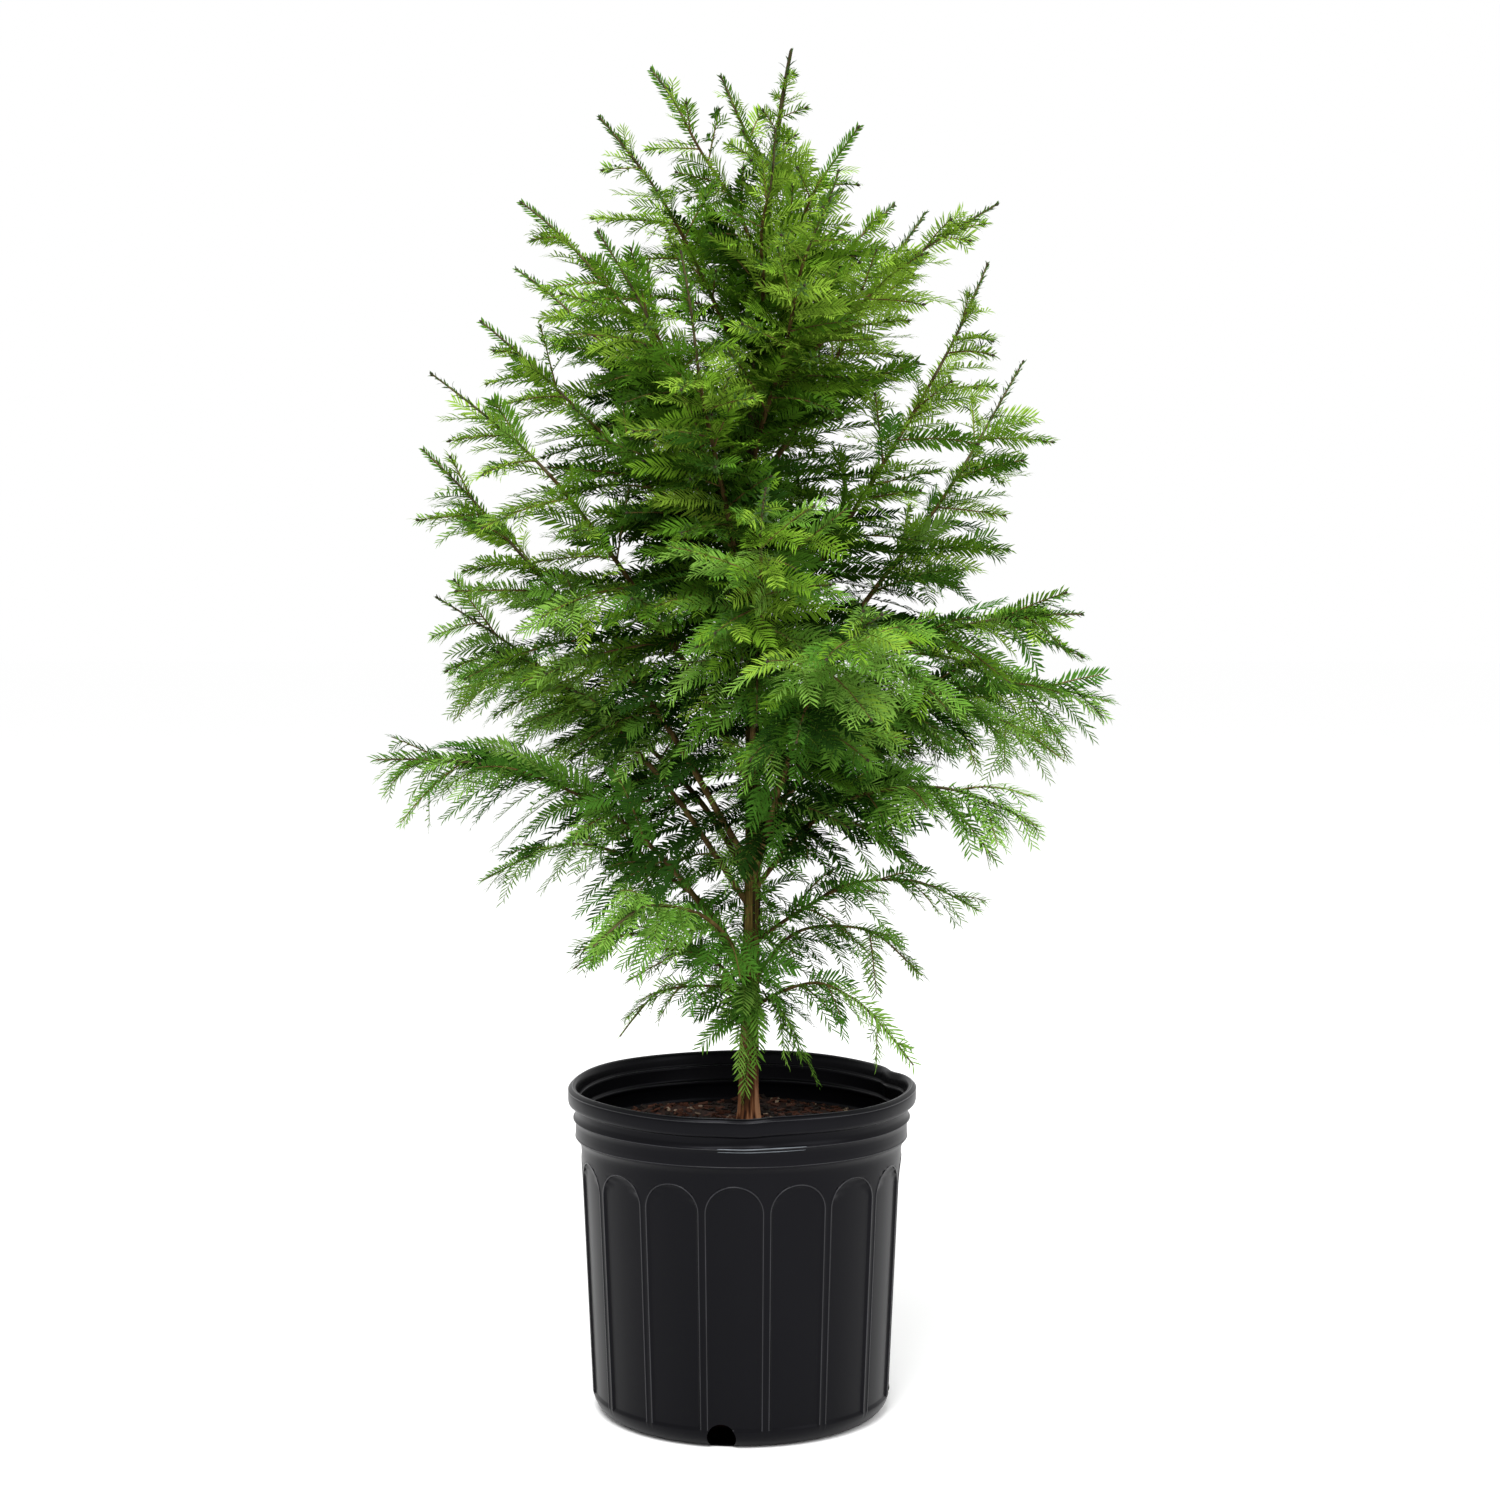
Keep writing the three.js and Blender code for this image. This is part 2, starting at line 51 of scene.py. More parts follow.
# The trunk, as in the solids
SOIL_LEVEL = 243.0
TREE_HEIGHT = 911.0
TRUNK_HEIGHT = 793.0
TRUNK_RADIUS = 8.3
LEADER_RADIUS = 1.4
TAPER_POWER = 0.9
ROOT_FLARE = 3.0
FLARE_HEIGHT = 13.0
FLARE_LOBES = 5
LOBE_DEPTH = 0.25
TRUNK_OFFSET = 6.0
SWAY = 2.0
SWAY_LENGTH = 520.0
DEPTH_PACE = 0.8
LEAN = 34.0
LEAN_POWER = 6

# The boughs, as in the solids. Those to the left and right, each by its foot's height above the soil, azimuth,
# reach, rise, lift and bare share:
SIDE_BOUGHS = np.array([
    (96, 207, 122, 9, 52, 0), (100, 150, 182, 42, 58, 0), (121, 146, 300, 92, 62, 0),
    (112, 187, 316, 220, 68, 0.26), (183, 180, 268, 274, 58, 0), (198, 142, 352, 194, 60, 0.24),
    (217, 192, 278, 354, 60, 0.27), (283, 213, 300, 340, 63, 0.27), (411, 196, 230, 265, 60, 0.24),
    (493, 145, 257, 256, 58, 0.23), (545, 190, 193, 233, 62, 0), (611, 216, 153, 225, 70, 0),
    (728, 186, 94, 164, 66, 0), (779, 220, 52, 102, 74, 0), (94, -20, 146, -14, 50, 0),
    (118, 38, 197, 14, 52, 0), (153, 9, 200, 48, 42, 0), (198, -40, 290, 92, 52, 0.24),
    (238, 39, 368, 87, 56, 0), (263, -3, 302, 113, 54, 0.26), (297, -29, 298, 146, 50, 0.24),
    (325, 36, 308, 345, 42, 0.29), (406, -10, 200, 321, 50, 0.29), (533, 38, 198, 262, 54, 0.24),
    (593, -36, 238, 165, 48, 0), (648, 44, 171, 154, 46, 0), (693, -44, 111, 138, 60, 0),
], dtype=float)
BEND = 0.55
FACING_BOUGHS = 14
FACING_LOWEST = 116.0
FACING_HIGHEST = 683.0
FACING_BARE_FROM = 205.0
FACING_BARE_TO = 340.0
FACING_BARE = 0.24
FACING_LIFT = 56.0
FACING_FAN = 62.0
FRONT, BACK = 270, 90

# What only shows here: waves in the boughs, and the lowest tips that droop
STEM_SAMPLES = 49
BOUGH_WAVE = 12
WAVE_PACE = (5, 10)
WAVE_PHASE = (0, 6)
TIP_DROOP = 25.0
DROOP_SPAN = (0.7, 1.1)
HANGING_HEIGHTS = (0.26, 0.64)
RISING_HEIGHTS = (0.7, 1.05)
LEAST_OUTWARD = 0.2
TIP_MARGIN = 6.0
LEADER_REACH = 90.0
TRUNK_REACH = 300.0


def unit(v):
    return v / np.maximum(np.linalg.norm(v, axis=-1, keepdims=True), TINY)


def outward_from_axis(place):
    """Level directions from the pot's axis to places."""
    return unit(place * LEVEL)


def turned(v, axis, degrees):
    """Vectors turned about unit axes."""
    angle = np.radians(degrees)[..., None]
    along = np.sum(v * axis, axis=-1, keepdims=True) * axis
    return along + (v - along) * np.cos(angle) + np.cross(axis, v) * np.sin(angle)


def smoothstep(low, high, x):
    t = np.clip((x - low) / (high - low), 0, 1)
    return t * t * (3 - 2 * t)


def each_index(count):
    """Owners and indices of count[i] things for each i."""
    owner = np.repeat(np.arange(len(count)), count)
    return owner, np.arange(len(owner)) - np.repeat(np.cumsum(count) - count, count)


# Making of pieces

def add_piece(name, verts, faces, material, slot, nodes, smooth=True):
    """A mesh piece from vertices in millimetres and faces with equal corner counts."""
    mesh = bpy.data.meshes.new(name)
    mesh.vertices.add(len(verts))
    mesh.vertices.foreach_set("co", np.asarray(verts * MM, dtype=np.float32).ravel())
    mesh.loops.add(faces.size)
    mesh.loops.foreach_set("vertex_index", faces.astype(np.int32).ravel())
    mesh.polygons.add(len(faces))
    mesh.polygons.foreach_set("loop_start", np.arange(0, faces.size, faces.shape[1], dtype=np.int32))
    mesh.polygons.foreach_set("use_smooth", np.full(len(faces), smooth))
    mesh.update(calc_edges=True)
    mesh.materials.append(material)
    piece = bpy.data.objects.new(name, mesh)
    bpy.context.scene.collection.objects.link(piece)
    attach(piece, "root")
    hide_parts(*nodes)
    return piece


def ring_quads(rows, columns):
    """Faces of a grid of rows that close on themselves."""
    base = np.arange(rows - 1)[:, None] * columns
    here = np.arange(columns)
    after = (here + 1) % columns
    quads = np.stack([base + here, base + after, base + columns + after, base + columns + here], axis=-1)
    return quads.reshape(-1, 4)


def tubes(paths, radii, sides, guide=np.array([1.0, 0.0, 0.013])):
    """Tubes along paths (m, n, 3) of radii (m, n) or (m, n, sides), as quads, set square to a guide."""
    m, n, _ = paths.shape
    along = unit(np.gradient(paths, axis=1))
    side = unit(np.cross(guide, along))
    across = np.cross(along, side)
    angle = 2 * np.pi * np.arange(sides) / sides
    ring = side[:, :, None] * np.cos(angle)[:, None] + across[:, :, None] * np.sin(angle)[:, None]
    radii = radii if radii.ndim == 3 else radii[..., None] * np.ones(sides)
    verts = paths[:, :, None] + ring * radii[..., None]
    quads = np.arange(m)[:, None, None] * n * sides + ring_quads(n, sides)[None]
    return verts.reshape(-1, 3), quads.reshape(-1, 4)


def joined(meshes):
    """Several (verts, faces) pairs as one."""
    start = np.cumsum([0] + [len(v) for v, _ in meshes])
    faces = [f + s for (_, f), s in zip(meshes, start)]
    return np.concatenate([v for v, _ in meshes]), np.concatenate(faces)


# The tree's skeleton

def trunk_point(height):
    turn = 2 * np.pi * height / SWAY_LENGTH
    x = TRUNK_OFFSET + SWAY * (1 - np.cos(turn)) + LEAN * (height / TREE_HEIGHT) ** LEAN_POWER
    return np.stack([x, SWAY * (1 - np.cos(DEPTH_PACE * turn)), SOIL_LEVEL + height], axis=-1)


def trunk_radius(height):
    left = np.maximum(0, 1 - height / TREE_HEIGHT)
    return LEADER_RADIUS + (TRUNK_RADIUS - LEADER_RADIUS) * left ** TAPER_POWER


def all_boughs():
    """Sizes of the side boughs, and of those to the front and back, which follow them."""
    side = SIDE_BOUGHS[np.argsort(SIDE_BOUGHS[:, 0])]
    i = np.arange(FACING_BOUGHS)
    foot = FACING_LOWEST + (FACING_HIGHEST - FACING_LOWEST) * i / (FACING_BOUGHS - 1)
    azimuth = np.where(i % 2 == 0, FRONT, BACK) + FACING_FAN * ((i * GOLDEN_ANGLE / 360) % 1 - 0.5)
    reach = np.interp(foot, side[:, 0], side[:, 2])
    rise = np.interp(foot, side[:, 0], side[:, 3])
    lift = np.full(FACING_BOUGHS, FACING_LIFT)
    bare = np.where((foot < FACING_BARE_FROM) | (foot > FACING_BARE_TO), 0, FACING_BARE)
    return np.concatenate([SIDE_BOUGHS, np.stack([foot, azimuth, reach, rise, lift, bare], axis=-1)])


def bough_paths(sizes, samples):
    """The boughs and, last, the leader as paths (m, samples, 3), the boughs with a slight wave."""
    foot, azimuth, reach, rise, lift, _ = sizes.T
    start = trunk_point(foot)
    azimuth, lift = np.radians(azimuth), np.radians(lift)
    out = np.stack([np.cos(azimuth), np.sin(azimuth), 0 * azimuth], axis=-1)
    knee = (BEND * np.hypot(reach, rise))[:, None]
    middle = start + out * knee * np.cos(lift)[:, None] + UP * knee * np.sin(lift)[:, None]
    tip = start + out * reach[:, None] + UP * rise[:, None]
    t = np.linspace(0, 1, samples)[None, :, None]
    limbs = (1 - t) ** 2 * start[:, None] + 2 * t * (1 - t) * middle[:, None] + t ** 2 * tip[:, None]
    shape = (len(foot), 1, 3)
    wave = np.sin(rng.uniform(*WAVE_PACE, shape) * t + rng.uniform(*WAVE_PHASE, shape))
    limbs += BOUGH_WAVE * t * (1 - t) * wave
    limbs -= UP * TIP_DROOP * hanging(crown_height(tip))[:, None, None] * smoothstep(*DROOP_SPAN, t)
    leader = trunk_point(np.linspace(TRUNK_HEIGHT, TREE_HEIGHT, samples))
    return np.concatenate([limbs, leader[None]])


def on_path(paths, owner, share):
    """Places and directions on paths (m, n, 3) at shares of their owners' lengths."""
    n = paths.shape[1]
    at = np.clip(share, 0, 1) * (n - 1)
    low = np.minimum(at.astype(int), n - 2)
    first, second = paths[owner, low], paths[owner, low + 1]
    return first + (second - first) * (at - low)[:, None], unit(second - first)


def path_lengths(paths):
    return np.linalg.norm(np.diff(paths, axis=1), axis=-1).sum(axis=1)


def crown_height(place):
    """Height above the soil as a share of the tree's."""
    return (place[..., 2] - SOIL_LEVEL) / TREE_HEIGHT


def hanging(height):
    """How far the growth hangs: fully at the foot, not at all in the upper part."""
    return 1 - smoothstep(*HANGING_HEIGHTS, height)


def set_round(paths, owner, share, turn, spread, flatten, outward, sag):
    """Where side growth leaves its stem, and which way: flatter and drawn outward, rising near the top."""
    place, along = on_path(paths, owner, share)
    level = unit(np.cross(along, NEARLY_UP))
    out = turned(level, along, turn)
    spread = np.radians(spread)[:, None]
    direction = along * np.cos(spread) + out * np.sin(spread)
    height = crown_height(place)
    rising = smoothstep(*RISING_HEIGHTS, height)
    direction[:, 2] *= flatten + (1 - flatten) * rising
    direction[:, 2] -= sag * hanging(height)
    direction += outward * (1 - rising)[:, None] * outward_from_axis(place)
    return place, unit(direction)


def trimmed(place, direction, length, reach):
    """Lengths cut so that no growth stands further from the trunk than its bough's tip."""
    outward = np.sum(direction * outward_from_axis(place), axis=1)
    room = np.maximum(0, reach - np.hypot(place[:, 0], place[:, 1])) + TIP_MARGIN
    longest = room / np.maximum(outward, LEAST_OUTWARD)
    return np.where(outward > LEAST_OUTWARD, np.minimum(length, longest), length)


def arcs(root, direction, length, droop, samples):
    """Drooping paths from roots along directions."""
    s = np.linspace(0, 1, samples)[None, :, None]
    path = direction[:, None] * s - UP * droop[:, None, None] * s ** 2
    return root[:, None] + length[:, None, None] * path


# Shoots: set round their boughs in golden-angle turns as the solids' sprays are, but more of them.
# A pair for by_bough is the value on a low bough and its change towards the slender high ones.
SLENDER_HEIGHTS = (0.42, 0.5)
LEAFLESS_SHARE = 0.12
LEAFY_TO = (0.96, -0.07)
SHOOTS_PER_METRE = 58
SHOOT_DENSITY = (0.76, 0.24)
FEWEST_SHOOTS = 9
SHOOT_JITTER = (0.1, 0.9)
SHOOT_SPREAD = (40, 60)
LOW_SPREAD = 6
SHOOT_POINT = (0.7, -0.2)
LEADER_POINT = 0.3
SHOOT_FLATTEN = (0.8, -0.25)
SHOOT_OUTWARD = 0.3
SHOOT_SAG = 0.22
SPRAY_LENGTH = 136.0
SPRAY_TIP_SHARE = 0.52
SPRAY_SIZES = (0.6, 1.1)
LEAST_VIGOUR = 0.4
FULL_VIGOUR_LENGTH = 480.0
SHOOT_DROOP = (0, 0.2)
LOW_SHOOT_DROOP = 0.34
END_STIFFNESS = 0.5
DROOP_SIZES = (0.3, 1)
SHOOT_SAMPLES = 13
SHOOT_KEPT_POWER = 1.3

# By height: growth is short at the foot and towards the top, and the lowest is the most open
GROWTH = ([0.05, 0.15, 0.32, 0.45, 0.95], [0.5, 0.65, 0.85, 1.0, 0.6])
FULLNESS = ([0.1, 0.19, 0.26, 0.32, 0.38, 0.76, 0.95], [0.62, 0.64, 0.5, 0.6, 1.0, 1.0, 0.75])
FULL_FROM = 0.38
FULL_ENDS = (0.3, 0.6)
FULL_END_HEIGHTS = (0.2, 0.36)
THIN_ENDS = (0.5, 0.85)
THIN_END_HEIGHTS = (0.4, 0.5)
END_THINNING = 0.4


def by_bough(pair):
    return pair[0] + pair[1] * slender


def fullness(height, outward):
    """Share of the growth that is kept: the ends stay full on the lower boughs and are thin on the upper ones."""
    inner = np.interp(height, *FULLNESS)
    outer = smoothstep(*FULL_ENDS, outward) * smoothstep(*FULL_END_HEIGHTS, height)
    thinned = 1 - END_THINNING * smoothstep(*THIN_ENDS, outward) * smoothstep(*THIN_END_HEIGHTS, height)
    return thinned * (inner + (1 - inner) * outer * (height < FULL_FROM))


sizes = all_boughs()
boughs = bough_paths(sizes, STEM_SAMPLES)
bough_length = path_lengths(boughs)
tip_reach = np.hypot(boughs[:, -1, 0], boughs[:, -1, 1])
tip_reach[-1] = LEADER_REACH
slender = smoothstep(*SLENDER_HEIGHTS, crown_height(boughs[:, -1]))
leafy_from = np.append(np.maximum(sizes[:, 5], LEAFLESS_SHARE), 0)
leafy_to = by_bough(LEAFY_TO)
leafy = leafy_to - leafy_from

shoot_count = bough_length * leafy * SHOOTS_PER_METRE * by_bough(SHOOT_DENSITY) / METRE
shoot_count = np.maximum(FEWEST_SHOOTS, shoot_count).astype(int)
shoot_owner, shoot_index = each_index(shoot_count)
count = len(shoot_owner)
shoot_share = (shoot_index + rng.uniform(*SHOOT_JITTER, count)) / shoot_count[shoot_owner]
shoot_share = leafy_from[shoot_owner] + leafy[shoot_owner] * shoot_share
shoot_turn = rng.uniform(0, 360, len(boughs))[shoot_owner] + GOLDEN_ANGLE * shoot_index
shoot_spread = rng.uniform(*SHOOT_SPREAD, count) + LOW_SPREAD * (1 - slender[shoot_owner])
vigour = np.minimum(1, LEAST_VIGOUR + bough_length / FULL_VIGOUR_LENGTH)[shoot_owner]
shoot_length = SPRAY_LENGTH * vigour * (1 + (SPRAY_TIP_SHARE - 1) * shoot_share)
shoot_length = shoot_length * rng.uniform(*SPRAY_SIZES, count)
room = bough_length[shoot_owner] * (1 - shoot_share) / np.cos(np.radians(shoot_spread))
pointed = by_bough(SHOOT_POINT)
pointed[-1] = LEADER_POINT
shoot_length = np.minimum(shoot_length, TIP_MARGIN + pointed[shoot_owner] * room)
shoot_root, shoot_direction = set_round(boughs, shoot_owner, shoot_share, shoot_turn, shoot_spread,
                                        by_bough(SHOOT_FLATTEN)[shoot_owner], SHOOT_OUTWARD, SHOOT_SAG)
shoot_height = crown_height(shoot_root)
shoot_length *= np.interp(shoot_height, *GROWTH)
shoot_length = trimmed(shoot_root, shoot_direction, shoot_length, tip_reach[shoot_owner])
shoot_low = hanging(shoot_height) * (1 - END_STIFFNESS * shoot_share)
shoot_droop = rng.uniform(*SHOOT_DROOP, count) + LOW_SHOOT_DROOP * shoot_low * rng.uniform(*DROOP_SIZES, count)

shoot_kept = rng.uniform(0, 1, count) < fullness(shoot_height, shoot_share) ** SHOOT_KEPT_POWER
shoots = arcs(shoot_root, shoot_direction, shoot_length, shoot_droop, SHOOT_SAMPLES)[shoot_kept]
shoot_root, shoot_direction = shoot_root[shoot_kept], shoot_direction[shoot_kept]
shoot_share, shoot_length = shoot_share[shoot_kept], shoot_length[shoot_kept]
shoot_droop, shoot_owner = shoot_droop[shoot_kept], shoot_owner[shoot_kept]
shoots_total = len(shoots)

# Feathers: flat branchlets with two rows of needles, shorter towards the tip of their stem
TWO_ROWS = 180
FEWEST_FEATHERS = 3
FEATHER_JITTER = (0.15, 0.85)
LEAN_WANDER = 6
STEEPEST_LEAN = 70
FEATHER_SAG = 0.24
FEATHER_TAPER = 0.55
FEATHER_TAPER_POWER = 1.4
FEATHER_SIZES = (0.6, 1.12)
FEATHER_MARGIN = 0.6 * TIP_MARGIN
BOUGH_FEATHER = 104.0
BOUGH_FEATHER_SHARE = 0.42
FEATHERS_FROM = 0.75
SHOOT_FEATHER = 70.0
SHOOT_FEATHER_SHARE = 0.65
END_FEATHER = 78.0
FEATHER_DROOP = (0.04, 0.2)
LOW_FEATHER_DROOP = 0.42
FACING_UP = 0.8
FACING_OUT = 0.6
FACING_WANDER = 0.38

# Small bunches of feathers by the places of their roots and tips above the soil
SPRIGS = [
    ((10, -10, 78), (-1, -16, 32)), ((22, -10, 116), (57, -32, 55)), ((0, -6, 96), (-38, -20, 76)),
    ((6, -10, 104), (-8, -34, 71)), ((27, -14, 112), (40, -38, 64)), ((14, -10, 128), (-6, -36, 96)),
    ((-120, -12, 270), (-205, -30, 350)), ((-150, -16, 287), (-240, -36, 362)),
    ((-190, -20, 306), (-272, -14, 348)), ((-170, -18, 298), (-255, -20, 322)),
    ((105, -82, 288), (182, -96, 308)), ((80, -66, 285), (160, -70, 322)),
    ((10, -8, 150), (13, -30, 104)), ((10, -8, 128), (18, -30, 82)), ((12, -8, 102), (11, -26, 62)),
]
SPRIG_FEATHERS = 3
SPRIG_WANDER = 0.09
SPRIG_SIZES = (0.6, 0.95)
SPRIG_DROOP = 0.3
SPRIG_SHARE = 0.4
SPRIG_WOOD = np.arange(60.0, 760.0, 4.0)


def feathers_along(paths, lengths, reach, longest, span, *, pitch, step, wander, spread, flatten, outward, point):
    """Owners, shares, roots, directions and lengths of the feathers on some stems."""
    start, end, flatten, point = (np.broadcast_to(a, len(paths)) for a in (*span, flatten, point))
    count = np.maximum(FEWEST_FEATHERS, lengths * (end - start) / pitch).astype(int)
    owner, index = each_index(count)
    total = len(owner)
    share = start[owner] + (end - start)[owner] * (index + rng.uniform(*FEATHER_JITTER, total)) / count[owner]
    turn = rng.uniform(0, 360, len(paths))[owner] * (step != TWO_ROWS)
    turn = turn + step * index + rng.normal(0, wander, total)
    lean = spread[0] + (spread[1] - spread[0]) * share + rng.normal(0, LEAN_WANDER, total)
    root, direction = set_round(paths, owner, share, turn, lean, flatten[owner], outward, FEATHER_SAG)
    length = longest[owner] * (1 - FEATHER_TAPER * share ** FEATHER_TAPER_POWER)
    length = length * rng.uniform(*FEATHER_SIZES, total)
    left = (point * lengths)[owner] * (1 - share) + FEATHER_MARGIN
    left = left / np.cos(np.radians(np.clip(lean, 0, STEEPEST_LEAN)))
    length = np.minimum(length, left) * np.interp(crown_height(root), *GROWTH)
    length = trimmed(root, direction, length, reach[owner])
    return owner, share, root, direction, length


def bough_stems(chosen):
    """Paths, lengths, reaches, longest feathers and leafy spans of some boughs."""
    longest = np.minimum(BOUGH_FEATHER, BOUGH_FEATHER_SHARE * bough_length[chosen])
    span = (FEATHERS_FROM * leafy_from[chosen], leafy_to[chosen])
    return boughs[chosen], bough_length[chosen], tip_reach[chosen], longest, span


def trunk_stem(start, end, longest):
    """The same for a stretch of the trunk."""
    path = trunk_point(np.linspace(start, end, STEM_SAMPLES))[None]
    return path, path_lengths(path), np.array([TRUNK_REACH]), np.array([longest]), (0, 1)


def feathers_on_ends(paths, lengths):
    """One feather along the end of each stem, and how far each droops to follow it."""
    every = np.arange(len(paths))
    share = 1 - END_FEATHER / lengths
    root, _ = on_path(paths, every, share)
    middle, _ = on_path(paths, every, (1 + share) / 2)
    rest = paths[:, -1] - root
    fall = 4 * (middle - root - rest / 2)[:, 2]
    aim = rest + UP * fall[:, None]
    length = np.linalg.norm(aim, axis=1)
    return (every, share, root, unit(aim), length), fall / length


def sprigs(ends):
    """Feathers of small bunches to given tips, from the wood next to given roots."""
    ends = np.array(ends, dtype=float) + UP * SOIL_LEVEL
    roots, tips = np.repeat(ends, SPRIG_FEATHERS, axis=0).swapaxes(0, 1)
    wood = np.concatenate([boughs.reshape(-1, 3), trunk_point(SPRIG_WOOD)])
    roots = wood[np.linalg.norm(wood - roots[:, None], axis=2).argmin(axis=1)]
    rest = tips - roots
    rest = rest + SPRIG_WANDER * np.linalg.norm(rest, axis=1)[:, None] * rng.normal(size=rest.shape)
    size = np.linalg.norm(rest, axis=1) * rng.uniform(*SPRIG_SIZES, len(rest))
    direction = unit(rest + UP * SPRIG_DROOP * size[:, None])
    return np.zeros(len(rest), int), np.full(len(rest), SPRIG_SHARE), roots, direction, size


bare_tips = slender > 0.5
end_feathers, end_droop = feathers_on_ends(boughs, bough_length)
shoot_feather = np.minimum(SHOOT_FEATHER, SHOOT_FEATHER_SHARE * shoot_length)
FEATHERS = {
    "low_bough": feathers_along(
        *bough_stems(~bare_tips), pitch=6.5, step=GOLDEN_ANGLE, wander=14, spread=(64, 32), flatten=0.7,
        outward=0.35, point=0.95),
    "high_bough": feathers_along(
        *bough_stems(bare_tips), pitch=6.5, step=TWO_ROWS, wander=40, spread=(64, 36), flatten=0.5,
        outward=0.35, point=0.45),
    "shoot": feathers_along(
        shoots, shoot_length, tip_reach[shoot_owner], shoot_feather, (0.08, 0.9), pitch=8.5, step=TWO_ROWS,
        wander=26, spread=(58, 36), flatten=0.6, outward=0.15, point=0.75),
    "foot": feathers_along(
        *trunk_stem(95, 300, 90.0), pitch=2.6, step=GOLDEN_ANGLE, wander=20, spread=(66, 60), flatten=0.6,
        outward=0, point=1.0),
    "core": feathers_along(
        *trunk_stem(260, 760, 190.0), pitch=1.8, step=GOLDEN_ANGLE, wander=20, spread=(60, 60), flatten=0.6,
        outward=0, point=1.0),
    "top": feathers_along(
        *trunk_stem(690, 860, 135.0), pitch=2.1, step=GOLDEN_ANGLE, wander=20, spread=(62, 34), flatten=0.6,
        outward=0, point=0.7),
    "sprig": sprigs(SPRIGS),
    "shoot_end": (np.arange(shoots_total), shoot_share, shoot_root, shoot_direction, shoot_length),
    "bough_end": end_feathers,
}
ALWAYS_KEPT = ["shoot", "foot", "sprig", "shoot_end", "bough_end"]
kind = np.repeat(list(FEATHERS), [len(f[0]) for f in FEATHERS.values()])
owner, share, root, direction, length = (np.concatenate(a) for a in zip(*FEATHERS.values()))
height = crown_height(root)
droop = rng.uniform(*FEATHER_DROOP, len(root))
droop = droop + LOW_FEATHER_DROOP * hanging(height) * rng.uniform(*DROOP_SIZES, len(root))
droop[kind == "shoot_end"] = shoot_droop
droop[kind == "bough_end"] = end_droop
droop[kind == "sprig"] = SPRIG_DROOP
facing = FACING_UP * UP + FACING_OUT * outward_from_axis(root)
facing = unit(facing + FACING_WANDER * rng.normal(size=root.shape))

on_shoot = (kind == "shoot") | (kind == "shoot_end")
outward = np.where(on_shoot, shoot_share[owner * on_shoot], share)
kept = rng.uniform(0, 1, len(root)) < fullness(height, outward)
kept |= np.isin(kind, ALWAYS_KEPT)
kind, owner, root, direction, length = (a[kept] for a in (kind, owner, root, direction, length))
height, droop, facing, outward, on_shoot = (a[kept] for a in (height, droop, facing, outward, on_shoot))

# Tones by spray: lighter and more yellow high and outside, deep inside and below. Besides each spray's own random
# tone, the darkening inside, at the core and below is painted shade, and the lightening high and outside is
# partly painted light.
HEIGHT_LIGHT = 0.3
OUTER_LIGHT = 0.36
SPRAY_LIGHT = 0.17
FEATHER_LIGHT = 0.09
FOOT_LIGHT = 0.2
FOOT_HEIGHTS = (0.1, 0.3)
CORE_SHADE = 0.3
TOP_LIGHT = 0.1
INNER_SHARE = 0.3
INNER_SHADE = 0.06
OPEN_SHARE = 0.55
OPEN_HEIGHT = 0.27
OPEN_LIGHT = 0.18
HIGH_END = 0.45
HIGH_END_LIGHT = 0.2
TONE_LIMITS = [0.15, 0.28, 0.42]
WARM_HEIGHT = 0.5
WARM_WANDER = 0.09

# Soft patches of painted light and painted shade on the crown: place across the crown, height, spread and light
PAINTED_LIGHT_PATCHES = [
    (-140.0, 0.45, 100.0, 0.17), (-35.0, 0.36, 70.0, 0.14), (-35.0, 0.72, 75.0, -0.18),
    (100.0, 0.72, 100.0, 0.22),
]


def painted_patch_light(place, height):
    """Painted light and painted shade that the patches give to places at a height."""
    light = np.zeros(len(place))
    for across, middle, spread, amount in PAINTED_LIGHT_PATCHES:
        far = np.hypot(place[:, 0] - across, TREE_HEIGHT * (height - middle)) / spread
        light += amount * np.exp(-far ** 2)
    return light


high_end = (kind == "bough_end") & (height > HIGH_END)
spray_tone = np.where(on_shoot, rng.normal(0, SPRAY_LIGHT, shoots_total)[owner * on_shoot], 0)
light = HEIGHT_LIGHT * height + OUTER_LIGHT * outward + spray_tone + rng.normal(0, FEATHER_LIGHT, len(root))
light += FOOT_LIGHT * (1 - smoothstep(*FOOT_HEIGHTS, height))
# Painted light and painted shade from the patches.
light += painted_patch_light(root, height)
# Feathers of the core round the trunk are darkened: painted shade.
light[kind == "core"] -= CORE_SHADE
light[kind == "top"] += TOP_LIGHT
# Feathers on the inner part of their stems are darkened: painted shade.
light[outward < INNER_SHARE] -= INNER_SHADE
open_growth = (outward > OPEN_SHARE) | (height < OPEN_HEIGHT)
light[open_growth] = np.maximum(light[open_growth], OPEN_LIGHT)
light[high_end] = HIGH_END_LIGHT
tone = np.digitize(light, TONE_LIMITS)
warm = height + rng.normal(0, WARM_WANDER, len(root)) > WARM_HEIGHT

